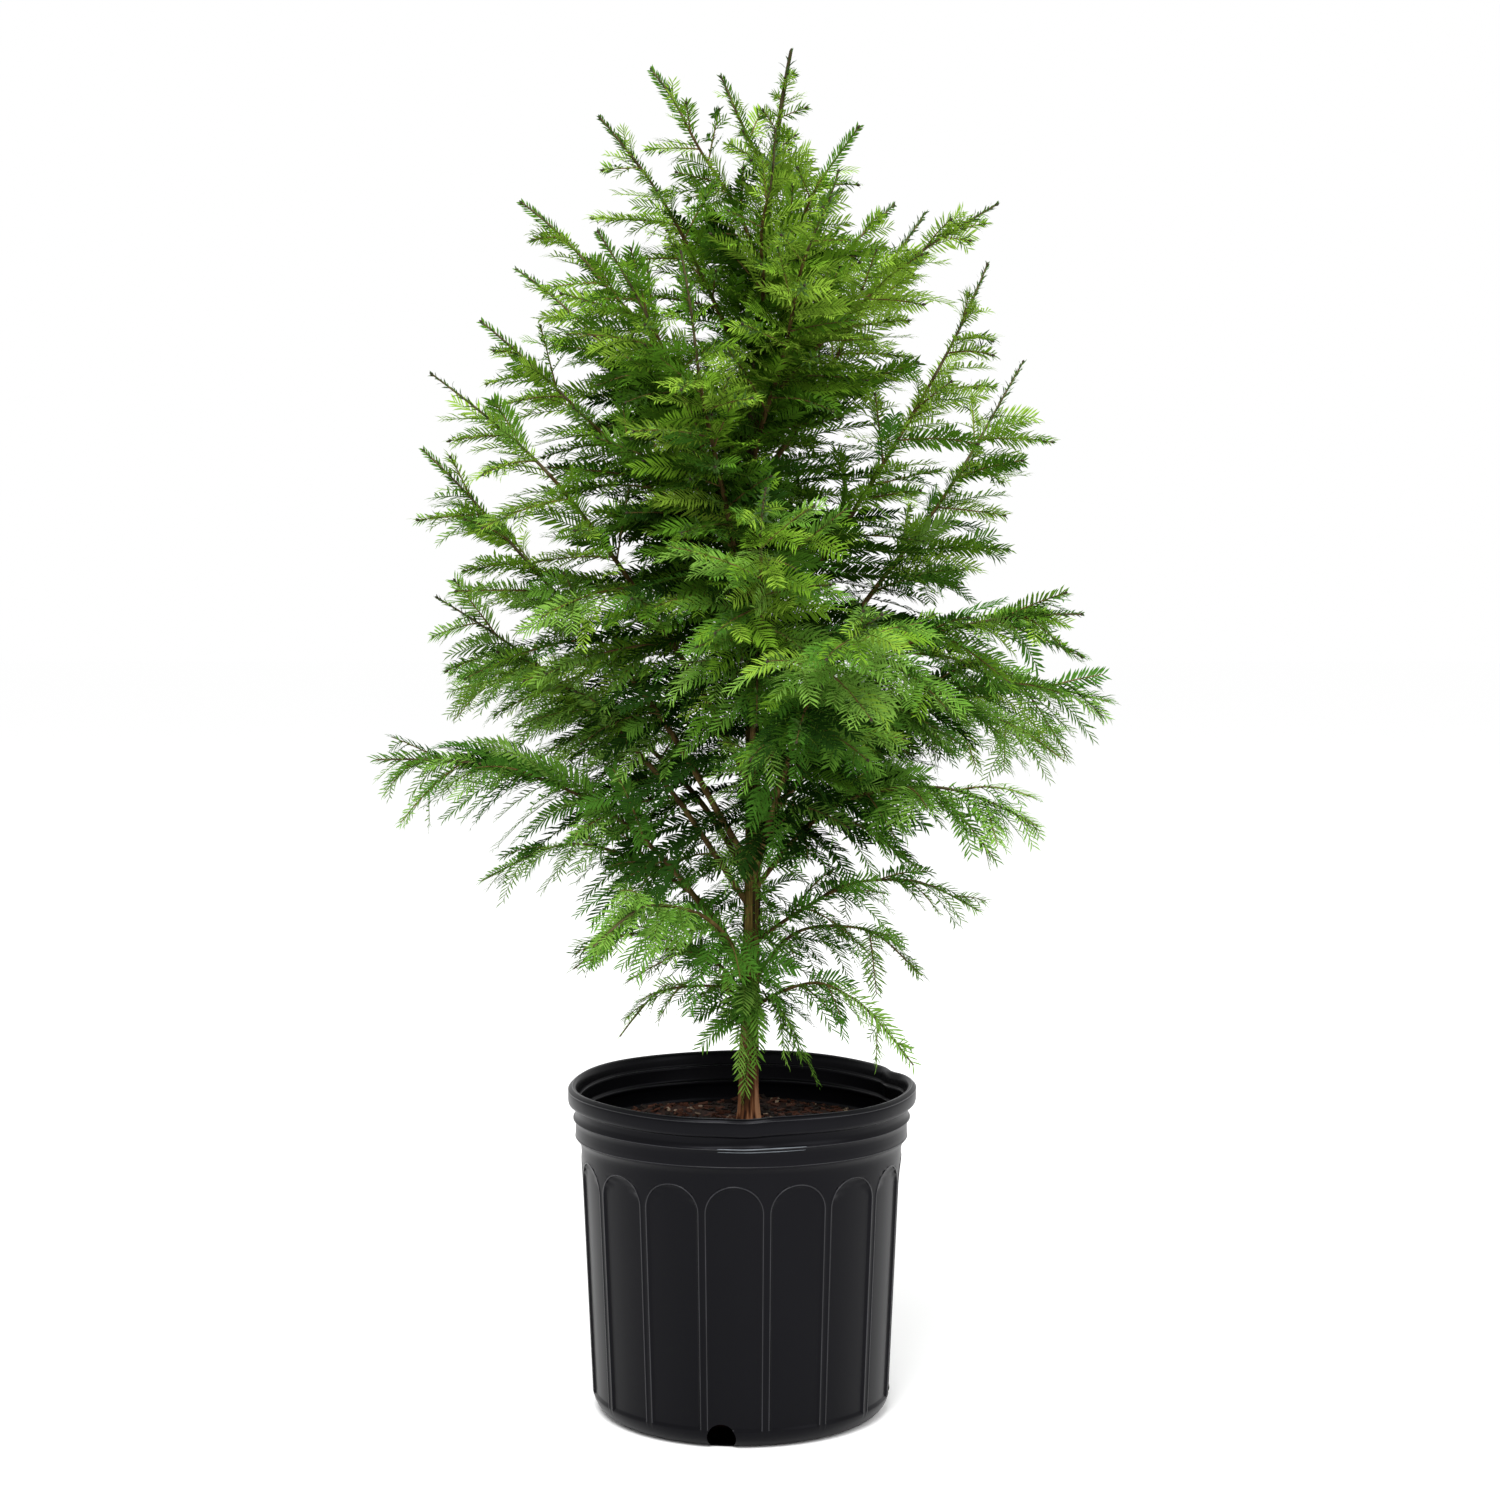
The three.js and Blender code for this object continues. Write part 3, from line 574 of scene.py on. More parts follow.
# Needles: in two rows on the feathers, and set round the outer ends of stems. Those of deep tones are wider.
NEEDLE_PITCH = 2.9
NEEDLE_LENGTH = 15.0
NEEDLE_WIDTH = 1.8
NEEDLE_SIZES = (0.85, 1.12)
FEWEST_NEEDLES = 8
NEEDLE_JITTER = (0.2, 1.0)
NEEDLE_SPREAD = (62, 28)
NEEDLE_WANDER = 5
NEEDLE_LIFT = (0.14, 0.12)
BELLY = 0.6
BELLY_SPAN = (0.16, 0.7)
LEAST_NEEDLES = 0.5
FULL_NEEDLES_LENGTH = 90
HIGH_END_NEEDLES = 0.6
TONE_WIDTHS = np.array([1.6, 1.3, 1.1, 1.0])
FEWEST_TIP_NEEDLES = 4
TIP_NEEDLE_SPREAD = (56, 22)
TIP_NEEDLE_WANDER = 6
TIP_NEEDLE_TURN = 40.0
TIP_NEEDLE_LENGTH = (0.8, 0.42)
TIP_NEEDLE_SIZES = (0.8, 1.1)
TIP_WIDTH = 1.4
NARROWEST = 0.65
FOOT_WIDTH = 0.6
SHOULDER = (0.62, 0.02)
TIP_BOW = 0.09


def feather_needles(chosen):
    """Needles of the chosen feathers: roots, directions, upper sides, lengths and breadths."""
    count = np.maximum(FEWEST_NEEDLES, 2 * length[chosen] / NEEDLE_PITCH).astype(int)
    local, k = each_index(count)
    owner = chosen[local]
    total = len(owner)
    share = np.clip((k + rng.uniform(*NEEDLE_JITTER, total)) / count[local], 0, 1)
    sign = np.where(k % 2 == 0, 1.0, -1.0)[:, None]
    size, fall, s = length[owner][:, None], droop[owner][:, None], share[:, None]
    place = root[owner] + size * (direction[owner] * s - UP * fall * s ** 2)
    along = unit(direction[owner] - 2 * UP * fall * s)
    side = unit(np.cross(along, facing[owner]))
    above = np.cross(side, along)
    angle = NEEDLE_SPREAD[0] - NEEDLE_SPREAD[1] * share + rng.normal(0, NEEDLE_WANDER, total)
    angle = np.radians(angle)[:, None]
    heading = along * np.cos(angle) + side * sign * np.sin(angle) + above * rng.normal(*NEEDLE_LIFT, (total, 1))
    profile = 1 - BELLY + BELLY * np.sin(np.pi * (BELLY_SPAN[0] + BELLY_SPAN[1] * share))
    reach = NEEDLE_LENGTH * np.minimum(1, LEAST_NEEDLES + length[owner] / FULL_NEEDLES_LENGTH) * profile
    reach *= np.where(high_end[owner], HIGH_END_NEEDLES, 1.0)
    return place, unit(heading), above, reach * rng.uniform(*NEEDLE_SIZES, total), TONE_WIDTHS[tone[owner]]


def stem_needles(paths, lengths, start, pitch):
    """Single needles set round the outer ends of some stems."""
    count = np.maximum(FEWEST_TIP_NEEDLES, lengths * (1 - start) / pitch).astype(int)
    owner, index = each_index(count)
    share = start + (1 - start) * (index + 0.5) / count[owner]
    outer = (share - start) / (1 - start)
    turn = GOLDEN_ANGLE * index + TIP_NEEDLE_TURN * owner
    spread = TIP_NEEDLE_SPREAD[0] - TIP_NEEDLE_SPREAD[1] * outer + rng.normal(0, TIP_NEEDLE_WANDER, len(owner))
    place, heading = set_round(paths, owner, share, turn, spread, flatten=1.0, outward=0, sag=0)
    _, along = on_path(paths, owner, share)
    above = unit(np.cross(np.cross(heading, along), heading))
    reach = NEEDLE_LENGTH * (TIP_NEEDLE_LENGTH[0] - TIP_NEEDLE_LENGTH[1] * outer)
    reach = reach * rng.uniform(*TIP_NEEDLE_SIZES, len(owner))
    return place, heading, above, reach, np.full(len(owner), TIP_WIDTH)


def needle_mesh(place, heading, above, reach, broad):
    """Flat needles of three triangles: narrow foot, even blade, pointed tip."""
    across = unit(np.cross(heading, above))
    above = np.cross(across, heading)
    half = across * (NEEDLE_WIDTH / 2) * (broad * np.clip(reach / NEEDLE_LENGTH, NARROWEST, 1))[:, None]
    reach = reach[:, None]
    shoulder = place + reach * (SHOULDER[0] * heading + SHOULDER[1] * above)
    tip = place + reach * (heading - TIP_BOW * above)
    foot = FOOT_WIDTH * half
    verts = np.stack([place - foot, place + foot, shoulder - half, shoulder + half, tip], axis=1)
    faces = np.array([(0, 1, 3), (0, 3, 2), (2, 3, 4)])
    faces = faces[None] + 5 * np.arange(len(verts))[:, None, None]
    return verts.reshape(-1, 3), faces.reshape(-1, 3)


# Materials

NOISE_DETAIL = 6
BUMP_DISTANCE = 0.001


def plain_material(name, colour, roughness, specular=0.5):
    material = bpy.data.materials.new(name)
    material.use_nodes = True
    shader = material.node_tree.nodes["Principled BSDF"]
    shader.inputs["Base Color"].default_value = (*colour, 1)
    shader.inputs["Roughness"].default_value = roughness
    shader.inputs["Specular IOR Level"].default_value = specular
    return material


def grained_material(name, colours, *, scale, stretch, roughness, bump, specular, spread=0.4):
    """Colours spread by a stretched noise, with a bump from the same noise."""
    material = plain_material(name, colours[0], roughness, specular)
    tree = material.node_tree
    shader = tree.nodes["Principled BSDF"]
    coords = tree.nodes.new("ShaderNodeTexCoord")
    mapping = tree.nodes.new("ShaderNodeMapping")
    mapping.inputs["Scale"].default_value = stretch
    noise = tree.nodes.new("ShaderNodeTexNoise")
    noise.inputs["Scale"].default_value = scale
    noise.inputs["Detail"].default_value = NOISE_DETAIL
    ramp = tree.nodes.new("ShaderNodeValToRGB")
    stops = ramp.color_ramp.elements
    while len(stops) < len(colours):
        stops.new(0.5)
    for i, colour in enumerate(colours):
        stops[i].position = 0.5 + spread * (i / (len(colours) - 1) - 0.5)
        stops[i].color = (*colour, 1)
    relief = tree.nodes.new("ShaderNodeBump")
    relief.inputs["Strength"].default_value = bump
    relief.inputs["Distance"].default_value = BUMP_DISTANCE
    tree.links.new(coords.outputs["Object"], mapping.inputs["Vector"])
    tree.links.new(mapping.outputs["Vector"], noise.inputs["Vector"])
    tree.links.new(noise.outputs["Fac"], ramp.inputs["Fac"])
    tree.links.new(ramp.outputs["Color"], shader.inputs["Base Color"])
    tree.links.new(noise.outputs["Fac"], relief.inputs["Height"])
    tree.links.new(relief.outputs["Normal"], shader.inputs["Normal"])
    return material


# Needle colours from deep to fresh: besides the growth's own colour, the deep ones carry painted shade and the
# bright and fresh ones painted light.
TONES = {
    "low_deep": (0.012, 0.037, 0.005), "low_mid": (0.049, 0.139, 0.015),
    "low_bright": (0.098, 0.226, 0.026), "low_fresh": (0.152, 0.292, 0.045),
    "high_deep": (0.018, 0.049, 0.004), "high_mid": (0.066, 0.161, 0.012),
    "high_bright": (0.127, 0.256, 0.018), "high_fresh": (0.194, 0.328, 0.032),
}
FIBRES = {"scale": 240, "stretch": (1, 1, 0.06), "roughness": 0.85, "bump": 1.0, "specular": 0.1, "spread": 0.22}
YOUNG_BARK = {"scale": 220, "stretch": (1, 1, 0.3), "roughness": 0.8, "bump": 0.5, "specular": 0.1}
bark = grained_material("bark", [(0.022, 0.008, 0.004), (0.140, 0.054, 0.022), (0.330, 0.165, 0.085)], **FIBRES)
stem_bark = grained_material(
    "stem_bark", [(0.013, 0.009, 0.002), (0.064, 0.045, 0.010), (0.138, 0.100, 0.026)], **FIBRES)
bough_bark = grained_material(
    "bough_bark", [(0.027, 0.017, 0.005), (0.066, 0.042, 0.012), (0.124, 0.084, 0.026)],
    scale=160, stretch=(1, 1, 0.3), roughness=0.8, bump=0.6, specular=0.1)
twig_bark = grained_material(
    "twig_bark", [(0.09, 0.06, 0.02), (0.16, 0.10, 0.034)],
    scale=200, stretch=(1, 1, 0.3), roughness=0.75, bump=0.4, specular=0.1)
tip_bark = grained_material("tip_bark", [(0.018, 0.014, 0.006), (0.044, 0.034, 0.014)], **YOUNG_BARK)
limb_bark = grained_material("limb_bark", [(0.046, 0.036, 0.016), (0.115, 0.088, 0.044)], **YOUNG_BARK)
rachis = plain_material("rachis", (0.07, 0.115, 0.016), roughness=0.6, specular=0.0)
bud_skin = plain_material("bud_skin", (0.03, 0.022, 0.012), roughness=0.7, specular=0.2)
tip_green = plain_material("needles_bough_tip", (0.046, 0.088, 0.026), roughness=0.6, specular=0.1)
shoot_green = plain_material("needles_shoot_tip", (0.062, 0.130, 0.024), roughness=0.6, specular=0.1)
plastic = grained_material(
    "pot_plastic", [(0.0010, 0.0010, 0.0014), (0.0022, 0.0021, 0.0028)],
    scale=9, stretch=(1, 1, 0.4), roughness=0.33, bump=0.05, specular=0.085)
plastic.node_tree.nodes["Principled BSDF"].inputs["Specular Tint"].default_value = (0.9, 0.9, 1, 1)
# Glossier plastic for the beads along the arches and rim: its lighter colour is a painted highlight.
edge_highlight_plastic = grained_material(
    "pot_painted_highlight_edges", [(0.004, 0.004, 0.005), (0.014, 0.014, 0.018)],
    scale=30, stretch=(1, 1, 1), roughness=0.28, bump=0.05, specular=0.3)
# Plastic for the tab's two beads on the band's front: its pale colour is a painted highlight of the light on the
# ridge.
tab_highlight_plastic = grained_material(
    "pot_painted_highlight_tab", [(0.07, 0.08, 0.09), (0.17, 0.19, 0.21)],
    scale=60, stretch=(1, 1, 1), roughness=0.28, bump=0.05, specular=0.4)
potting_mix = grained_material(
    "potting_mix", [(0.004, 0.002, 0.0015), (0.016, 0.006, 0.004), (0.045, 0.018, 0.010)],
    scale=260, stretch=(1, 1, 1), roughness=0.95, bump=1.0, specular=0.2)

# Needles, ribs, twigs and buds
PIECE_TRIANGLES = 190000
BOUGH_TIP_NEEDLES = (0.82, 2.0)
SHOOT_TIP_NEEDLES = (0.6, 1.8)
RIB_RADII = 0.5 * np.array([[1.0, 0.85, 0.65, 0.3]])
TWIG_RADIUS = 0.5
TWIG_GIRTH = 0.006
TWIG_TAPER = 0.45
BUD_STEPS = np.linspace(-1.2, 2.6, 6)
BUD_RADII = [0.5, 1.1, 1.35, 1.15, 0.7, 0.05]


def buds(paths):
    """A small knob on the end of each path."""
    end = paths[:, -1]
    along = unit(end - paths[:, -2])
    knob = end[:, None] + along[:, None] * BUD_STEPS[None, :, None]
    return tubes(knob, np.broadcast_to(BUD_RADII, (len(paths), len(BUD_RADII))), 6)


foliage_nodes = sorted(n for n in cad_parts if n.startswith("foliage_"))
bough_nodes = sorted(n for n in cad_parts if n.startswith("bough_"))
for i, (name, colour) in enumerate(TONES.items()):
    shade = plain_material("needles_" + name, colour, roughness=0.6, specular=0.0)
    needles = feather_needles(np.flatnonzero(tone + len(TONE_WIDTHS) * warm == i))
    parts = 1 + 3 * len(needles[0]) // PIECE_TRIANGLES
    for part in range(parts):
        verts, faces = needle_mesh(*(a[part::parts] for a in needles))
        add_piece(f"needles_{name}_{part + 1}", verts, faces, shade, "needles", foliage_nodes)
high_shoots = bare_tips[shoot_owner]
tip_needles = stem_needles(boughs[bare_tips], bough_length[bare_tips], *BOUGH_TIP_NEEDLES)
add_piece("needles_bough_tip", *needle_mesh(*tip_needles), tip_green, "needles", foliage_nodes)
tip_needles = stem_needles(shoots[high_shoots], shoot_length[high_shoots], *SHOOT_TIP_NEEDLES)
add_piece("needles_shoot_tip", *needle_mesh(*tip_needles), shoot_green, "needles", foliage_nodes)

ribs = tubes(arcs(root, direction, length, droop, 4), np.repeat(RIB_RADII, len(root), axis=0), 3)
add_piece("feather_ribs", *ribs, rachis, "needles", foliage_nodes)
shoot_radii = (TWIG_RADIUS + TWIG_GIRTH * shoot_length)[:, None] * np.linspace(1, TWIG_TAPER, SHOOT_SAMPLES)
add_piece("shoot_twigs", *tubes(shoots, shoot_radii, 5), twig_bark, "bark", foliage_nodes)
knobs = joined([buds(boughs[bare_tips]), buds(shoots[high_shoots])])
add_piece("buds", *knobs, bud_skin, "needles", foliage_nodes)

# Boughs and trunk, with the ridges of their bark: waves round, twist or drift along, and depth
BOUGH_SIDES = 8
BOUGH_TIP_RADIUS = 0.7
BOUGH_GIRTH = 0.0055
BOUGH_RIDGES = ((3, 9, 0.07), (5, -23, 0.05))
YOUNG_FROM = round(0.7 * STEM_SAMPLES)
TRUNK_SIDES = 40
TRUNK_ROWS = 320
ROW_POWER = 1.35
TRUNK_RIDGES = ((7, 0.02, 0.035), (11, -0.035, 0.03), (17, 0.06, 0.022), (23, -0.09, 0.016))
RIDGE_BEND = 0.6
RIDGE_BEND_LENGTH = 19
TRUNK_SUNK = 3
STEM_FROM = 88.0
LEADER_FROM = 560.0

rows = np.linspace(0, 1, STEM_SAMPLES)
angle = 2 * np.pi * np.arange(BOUGH_SIDES) / BOUGH_SIDES
foot_radius = BOUGH_TIP_RADIUS + BOUGH_GIRTH * bough_length[:-1]
radius = foot_radius[:, None] * (1 - rows) + BOUGH_TIP_RADIUS * rows
ridge = np.ones((STEM_SAMPLES, BOUGH_SIDES))
for waves, twist, depth in BOUGH_RIDGES:
    ridge += depth * np.sin(waves * angle + twist * rows[:, None])
radius = radius[..., None] * ridge[None]
old, young = slice(0, YOUNG_FROM + 1), slice(YOUNG_FROM, STEM_SAMPLES)
add_piece("bough_bark", *tubes(boughs[:-1, old], radius[:, old], BOUGH_SIDES), bough_bark, "bark",
          bough_nodes + foliage_nodes)
add_piece("bough_tips", *tubes(boughs[:-1, young], radius[:, young], BOUGH_SIDES), limb_bark, "bark",
          foliage_nodes)

level = TREE_HEIGHT * np.linspace(0, 1, TRUNK_ROWS) ** ROW_POWER
angle = 2 * np.pi * np.arange(TRUNK_SIDES) / TRUNK_SIDES
flare = ROOT_FLARE * (1 + LOBE_DEPTH * np.sin(FLARE_LOBES * angle)) * np.exp(-level / FLARE_HEIGHT)[:, None]
radius = trunk_radius(level)[:, None] + flare
ridge = np.zeros((TRUNK_ROWS, TRUNK_SIDES))
for waves, drift, depth in TRUNK_RIDGES:
    bend = rng.uniform(0, ANY_PHASE) + drift * level + RIDGE_BEND * np.sin(level / RIDGE_BEND_LENGTH + waves)
    ridge += depth * np.sin(waves * angle + bend[:, None])
path = trunk_point(level)
path[0, 2] = SOIL_LEVEL - TRUNK_SUNK
radius = radius * (1 + ridge)
stem_from, leader_from = np.searchsorted(level, [STEM_FROM, LEADER_FROM])
for name, rows, skin, nodes in (
        ("trunk_bark", slice(0, stem_from + 1), bark, ["trunk"]),
        ("stem_bark", slice(stem_from, leader_from + 1), stem_bark, ["trunk"]),
        ("leader_bark", slice(leader_from, TRUNK_ROWS), tip_bark, ["trunk", "foliage_leader"])):
    add_piece(name, *tubes(path[None, rows], radius[None, rows], TRUNK_SIDES), skin, "bark", nodes)

# Pot: a turned profile of radii and levels, with sixteen sunken arches, bent rim and drain holes
PANELS = 16
PANEL_TURN = -2.25
ARCH_HALF_WIDTH = 21.5
ARCH_TOP = 217.0
ARCH_MIDDLE = ARCH_TOP - ARCH_HALF_WIDTH
ARCH_FOOT = 16.0
ARCH_DEPTH = 1.5
ARCH_EDGE = 1.1
ARCH_RADIUS = 130.0
PANEL_HALF = math.pi * ARCH_RADIUS / PANELS
LIP_HEIGHT = 0.45
LIP_WIDTH = 0.8
BEAD_RADIUS = 0.55
BEAD_OFFSET = 1.2
BEAD_SIDES = 6
BEAD_SAMPLES = 24
BOW_SAMPLES = 33
EDGE_RADIUS = 0.4
EDGE_RINGS = [(148.6, 277.2), (145.4, 279.9), (143.9, 251.4), (142.0, 235.2), (140.0, 267.8), (137.8, 254.5),
              (136.4, 235.7)]
EDGE_SAMPLES = 241
TAB_SPAN = (-7.5, 21.5)
TAB_EDGES = [(144.4, 252.2), (142.5, 248.6)]
TAB_RADIUS = 0.5
TAB_SAMPLES = 41
TAB_POINT = 0.1
HOLES = 4
HOLE_RADIUS = 12.0
HOLE_LEVEL = 9.0
HOLE_TURN = -7.3
HOLE_FLOOR = 0.9
HOLE_REACH = np.array([106.0, 106.1, 139.9, 140.0])
HOLE_SIDES = 28
WALL_FOOT = 127.5
WALL_FROM = 14
WALL_SLOPE = 9.8 / 214
RIM_LEVELS = (240, 268)
RIM_DENTS = ((2.2, 2, 4), (5.0, 110, 6))
RIM_WAVES = ((0.6, 3, 1), (0.4, 7, 0))
RIDGE_LEVEL = 251.4
RIDGE_HEIGHT = 1.5
RIDGE_DEPTH = 0.7
RIDGE_START = (-10, -7)
RIDGE_END = (24, 21)
SAG = 1.2
FRONT_SAG = 3.0
PINCH_SAG = (1.6, 2, 5)
SAG_WAVE = 0.5
FOOT_ROWS = [
    (0, 0.4), (60, 0.2), (113, 0), (116.4, 0.5), (119.5, 1.8), (122.3, 4), (124.6, 7), (126.3, 10.4), (127.3, 14),
]
BAND_ROWS = [
    (137.2, 225), (137.6, 228), (138.4, 230), (140.2, 232.5), (141.6, 234), (142.1, 236), (142, 240),
    (141.9, 245), (142.2, 248.5), (143.4, 250), (143.9, 251.4), (143.3, 252.8), (142.5, 253.8), (142.3, 258),
    (142.2, 262), (142.4, 263.4), (143.6, 264.2), (146.8, 265), (148.4, 266.4), (148.9, 268.6), (148.9, 275),
    (148.5, 277.4), (147.2, 279.2), (145.4, 280), (143.4, 279.8), (142.2, 278.4), (141.4, 274),
]
INSIDE_ROWS = [
    (141, 270), (140.8, 268.4), (139.9, 267.6), (139.7, 266), (139.7, 257), (139.3, 255.4), (137.6, 254.4),
    (137.2, 253), (138.8, 251.2), (139.2, 249), (139.2, 240), (138.6, 237), (136, 235.5), (134.6, 233),
    (134.1, 228), (124.3, 14), (117, 3), (0, 3),
]


def wall_radius(level):
    return WALL_FOOT + WALL_SLOPE * (level - WALL_FROM)


def bump(degrees, height, place, width):
    """A smooth bump at a place round the rim."""
    return height * np.exp(-((degrees - place) / width) ** 2)


def bent(r, z, turn):
    """Radii and levels with the rim's own bends: pinched, wavy and sagging to the front."""
    degrees = (np.degrees(turn) + 180) % 360 - 180
    rim = smoothstep(*RIM_LEVELS, z)
    dent = sum(bump(degrees, *d) for d in RIM_DENTS)
    wobble = sum(depth * np.sin(waves * turn + start) for depth, waves, start in RIM_WAVES)
    sharp_ridge = smoothstep(*RIDGE_START, degrees) * smoothstep(*RIDGE_END, degrees)
    sharp_ridge = sharp_ridge * np.exp(-((z - RIDGE_LEVEL) / RIDGE_HEIGHT) ** 2)
    sag = SAG + FRONT_SAG * np.cos(turn) + bump(degrees, *PINCH_SAG) - SAG_WAVE * np.sin(5 * turn)
    return r - rim * (dent + wobble) + RIDGE_DEPTH * sharp_ridge, z - rim * sag


def round_pot(r, z, turn):
    """Points at radii, levels and turns about the pot's axis, turn 0 to the front."""
    return np.stack([r * np.sin(turn), -r * np.cos(turn), z], axis=-1)


def arch_beads():
    """A fine bead round the edge of each arch."""
    half = ARCH_HALF_WIDTH + BEAD_OFFSET
    side = np.linspace(ARCH_FOOT, ARCH_MIDDLE, BEAD_SAMPLES)
    bow = np.linspace(math.pi, 0, BOW_SAMPLES)[1:-1]
    x = np.concatenate([np.full(BEAD_SAMPLES, -half), half * np.cos(bow), np.full(BEAD_SAMPLES, half)])
    level = np.concatenate([side, ARCH_MIDDLE + half * np.sin(bow), side[::-1]])
    turn = np.radians(PANEL_TURN) + (x + 2 * PANEL_HALF * np.arange(PANELS)[:, None]) / ARCH_RADIUS
    level = np.broadcast_to(level, turn.shape)
    paths = round_pot(wall_radius(level), level, turn)
    return tubes(paths, np.full(turn.shape, BEAD_RADIUS), BEAD_SIDES, outward_from_axis(paths))


def edges(rings, span, thickness, samples):
    """Fine beads along edges of the pot, each given by its radius and level."""
    turn = np.broadcast_to(np.radians(np.linspace(*span, samples)), (len(rings), samples))
    radius, level = np.array(rings).T[..., None]
    r, z = bent(radius + 0 * turn, level + 0 * turn, turn)
    paths = round_pot(r, z, turn)
    return tubes(paths, np.broadcast_to(thickness, turn.shape), BEAD_SIDES, outward_from_axis(paths))


def drain_rods():
    """Four rods through the wall's foot, above a thin rest of the pot's floor."""
    places = np.radians(HOLE_TURN + 90 * np.arange(HOLES))
    out = np.stack([np.sin(places), -np.cos(places), 0 * places], axis=-1)
    rods = out[:, None] * HOLE_REACH[None, :, None] + UP * HOLE_LEVEL
    radii = np.broadcast_to([0.02, HOLE_RADIUS, HOLE_RADIUS, 0.02], (HOLES, len(HOLE_REACH)))
    verts, faces = tubes(rods, radii, HOLE_SIDES)
    verts[:, 2] = np.maximum(verts[:, 2], HOLE_FLOOR)
    return verts, faces


def cut(piece, verts, faces):
    """Takes a closed mesh out of a piece."""
    mesh = bpy.data.meshes.new("cutter")
    mesh.from_pydata((verts * MM).tolist(), [], faces.tolist())
    cutter = bpy.data.objects.new("cutter", mesh)
    bpy.context.scene.collection.objects.link(cutter)
    boolean = piece.modifiers.new("cut", "BOOLEAN")
    boolean.operation = "DIFFERENCE"
    boolean.solver = "EXACT"
    boolean.use_hole_tolerant = True
    boolean.object = cutter
    result = bpy.data.meshes.new_from_object(piece.evaluated_get(bpy.context.evaluated_depsgraph_get()))
    piece.modifiers.clear()
    piece.data = result
    bpy.data.objects.remove(cutter)


wall_levels = np.concatenate([np.linspace(15.5, 24, 7), np.linspace(34, 182, 9), np.linspace(190, 223, 24)])
wall_rows = [(wall_radius(level), level) for level in wall_levels]
profile = np.array(FOOT_ROWS + wall_rows + BAND_ROWS + INSIDE_ROWS, dtype=float)
edge = np.array([-2.4, -1.6, -1, -0.5, 0, 0.5, 1, 1.6, 2.4, 3.6]) + ARCH_HALF_WIDTH
across_panel = np.concatenate([[-PANEL_HALF], -edge[::-1], np.linspace(-14, 14, 5), edge])
turn = np.radians(PANEL_TURN) + np.concatenate(
    [(across_panel + 2 * PANEL_HALF * k) / ARCH_RADIUS for k in range(PANELS)])
panel_x = np.tile(across_panel, PANELS)
r = np.repeat(profile[:, :1], len(turn), axis=1)
z = np.repeat(profile[:, 1:], len(turn), axis=1)
outside_arch = np.hypot(panel_x, np.maximum(0, z - ARCH_MIDDLE)) - ARCH_HALF_WIDTH
outside_arch = np.maximum(outside_arch, ARCH_FOOT - z)
lip = LIP_HEIGHT * np.exp(-((outside_arch - BEAD_OFFSET) / LIP_WIDTH) ** 2)
sunk = ARCH_DEPTH * smoothstep(ARCH_EDGE, -ARCH_EDGE, outside_arch) - lip
sunk[len(FOOT_ROWS) + len(wall_rows):] = 0
r, z = bent(r - sunk, z, turn)
r[[0, -1]] = 0.01
pot_verts = round_pot(r, z, turn).reshape(-1, 3)
pot = add_piece("nursery_pot", pot_verts, ring_quads(len(profile), len(turn))[:, ::-1], plastic, "pot", ["pot"])
# The beads along the arches and rim carry a painted highlight.
highlighted_edges = [arch_beads(), edges(EDGE_RINGS, (0, 360), EDGE_RADIUS, EDGE_SAMPLES)]
add_piece("pot_edges", *joined(highlighted_edges), edge_highlight_plastic, "pot", ["pot"])
# The tab's beads carry a painted highlight.
tab_thickness = TAB_RADIUS * np.sin(np.linspace(TAB_POINT, math.pi - TAB_POINT, TAB_SAMPLES)) ** 0.5
add_piece("pot_tab", *edges(TAB_EDGES, TAB_SPAN, tab_thickness, TAB_SAMPLES), tab_highlight_plastic, "pot", ["pot"])
cut(pot, *drain_rods())

# Soil: lumpy bark mix, a little lower at the wall, with loose chips
SOIL_SIDES = 160
SOIL_ROWS = 48
SOIL_RADII = (0.02, 133.4)
SOIL_SUNK = 1.2
SOIL_SKIRT = [(133.2, 226), (124.6, 36), (84, 30), (80, 4), (0.02, 4)]
EDGE_FALL = 3.5
EDGE_FALL_RADII = (90, 134)
LUMPS = 26
LUMP_SEED = 100
LUMP_SIZES = (4, 22)
LUMP_HEIGHT = 0.045
LUMP_SHARE = 0.55
CHIP_KINDS = (("dark", 420, 1), ("red", 420, 1), ("pale", 80, 0.7))
CHIP_TONES = {"dark": (0.010, 0.005, 0.003), "red": (0.060, 0.020, 0.010), "pale": (0.26, 0.19, 0.135)}
CHIP_SHADE = 0.7
CHIP_FIELD = 128
CHIP_LIFT = 0.6
CHIP_SIZE = np.array([4.2, 2.0, 1.0])
CHIP_SIZES = (0.7, 1.2)
CHIP_CORNERS = (0.6, 1.15)
CHIP_TURNS = ((UP, 180), (np.array([1.0, 0, 0]), 24), (np.array([0, 1.0, 0]), 24))
CORNERS = np.array([(x, y, z) for x in (-1, 1) for y in (-1, 1) for z in (-1, 1)], dtype=float)
BLOCK = np.array([(0, 1, 3, 2), (4, 6, 7, 5), (0, 4, 5, 1), (2, 3, 7, 6), (0, 2, 6, 4), (1, 5, 7, 3)])


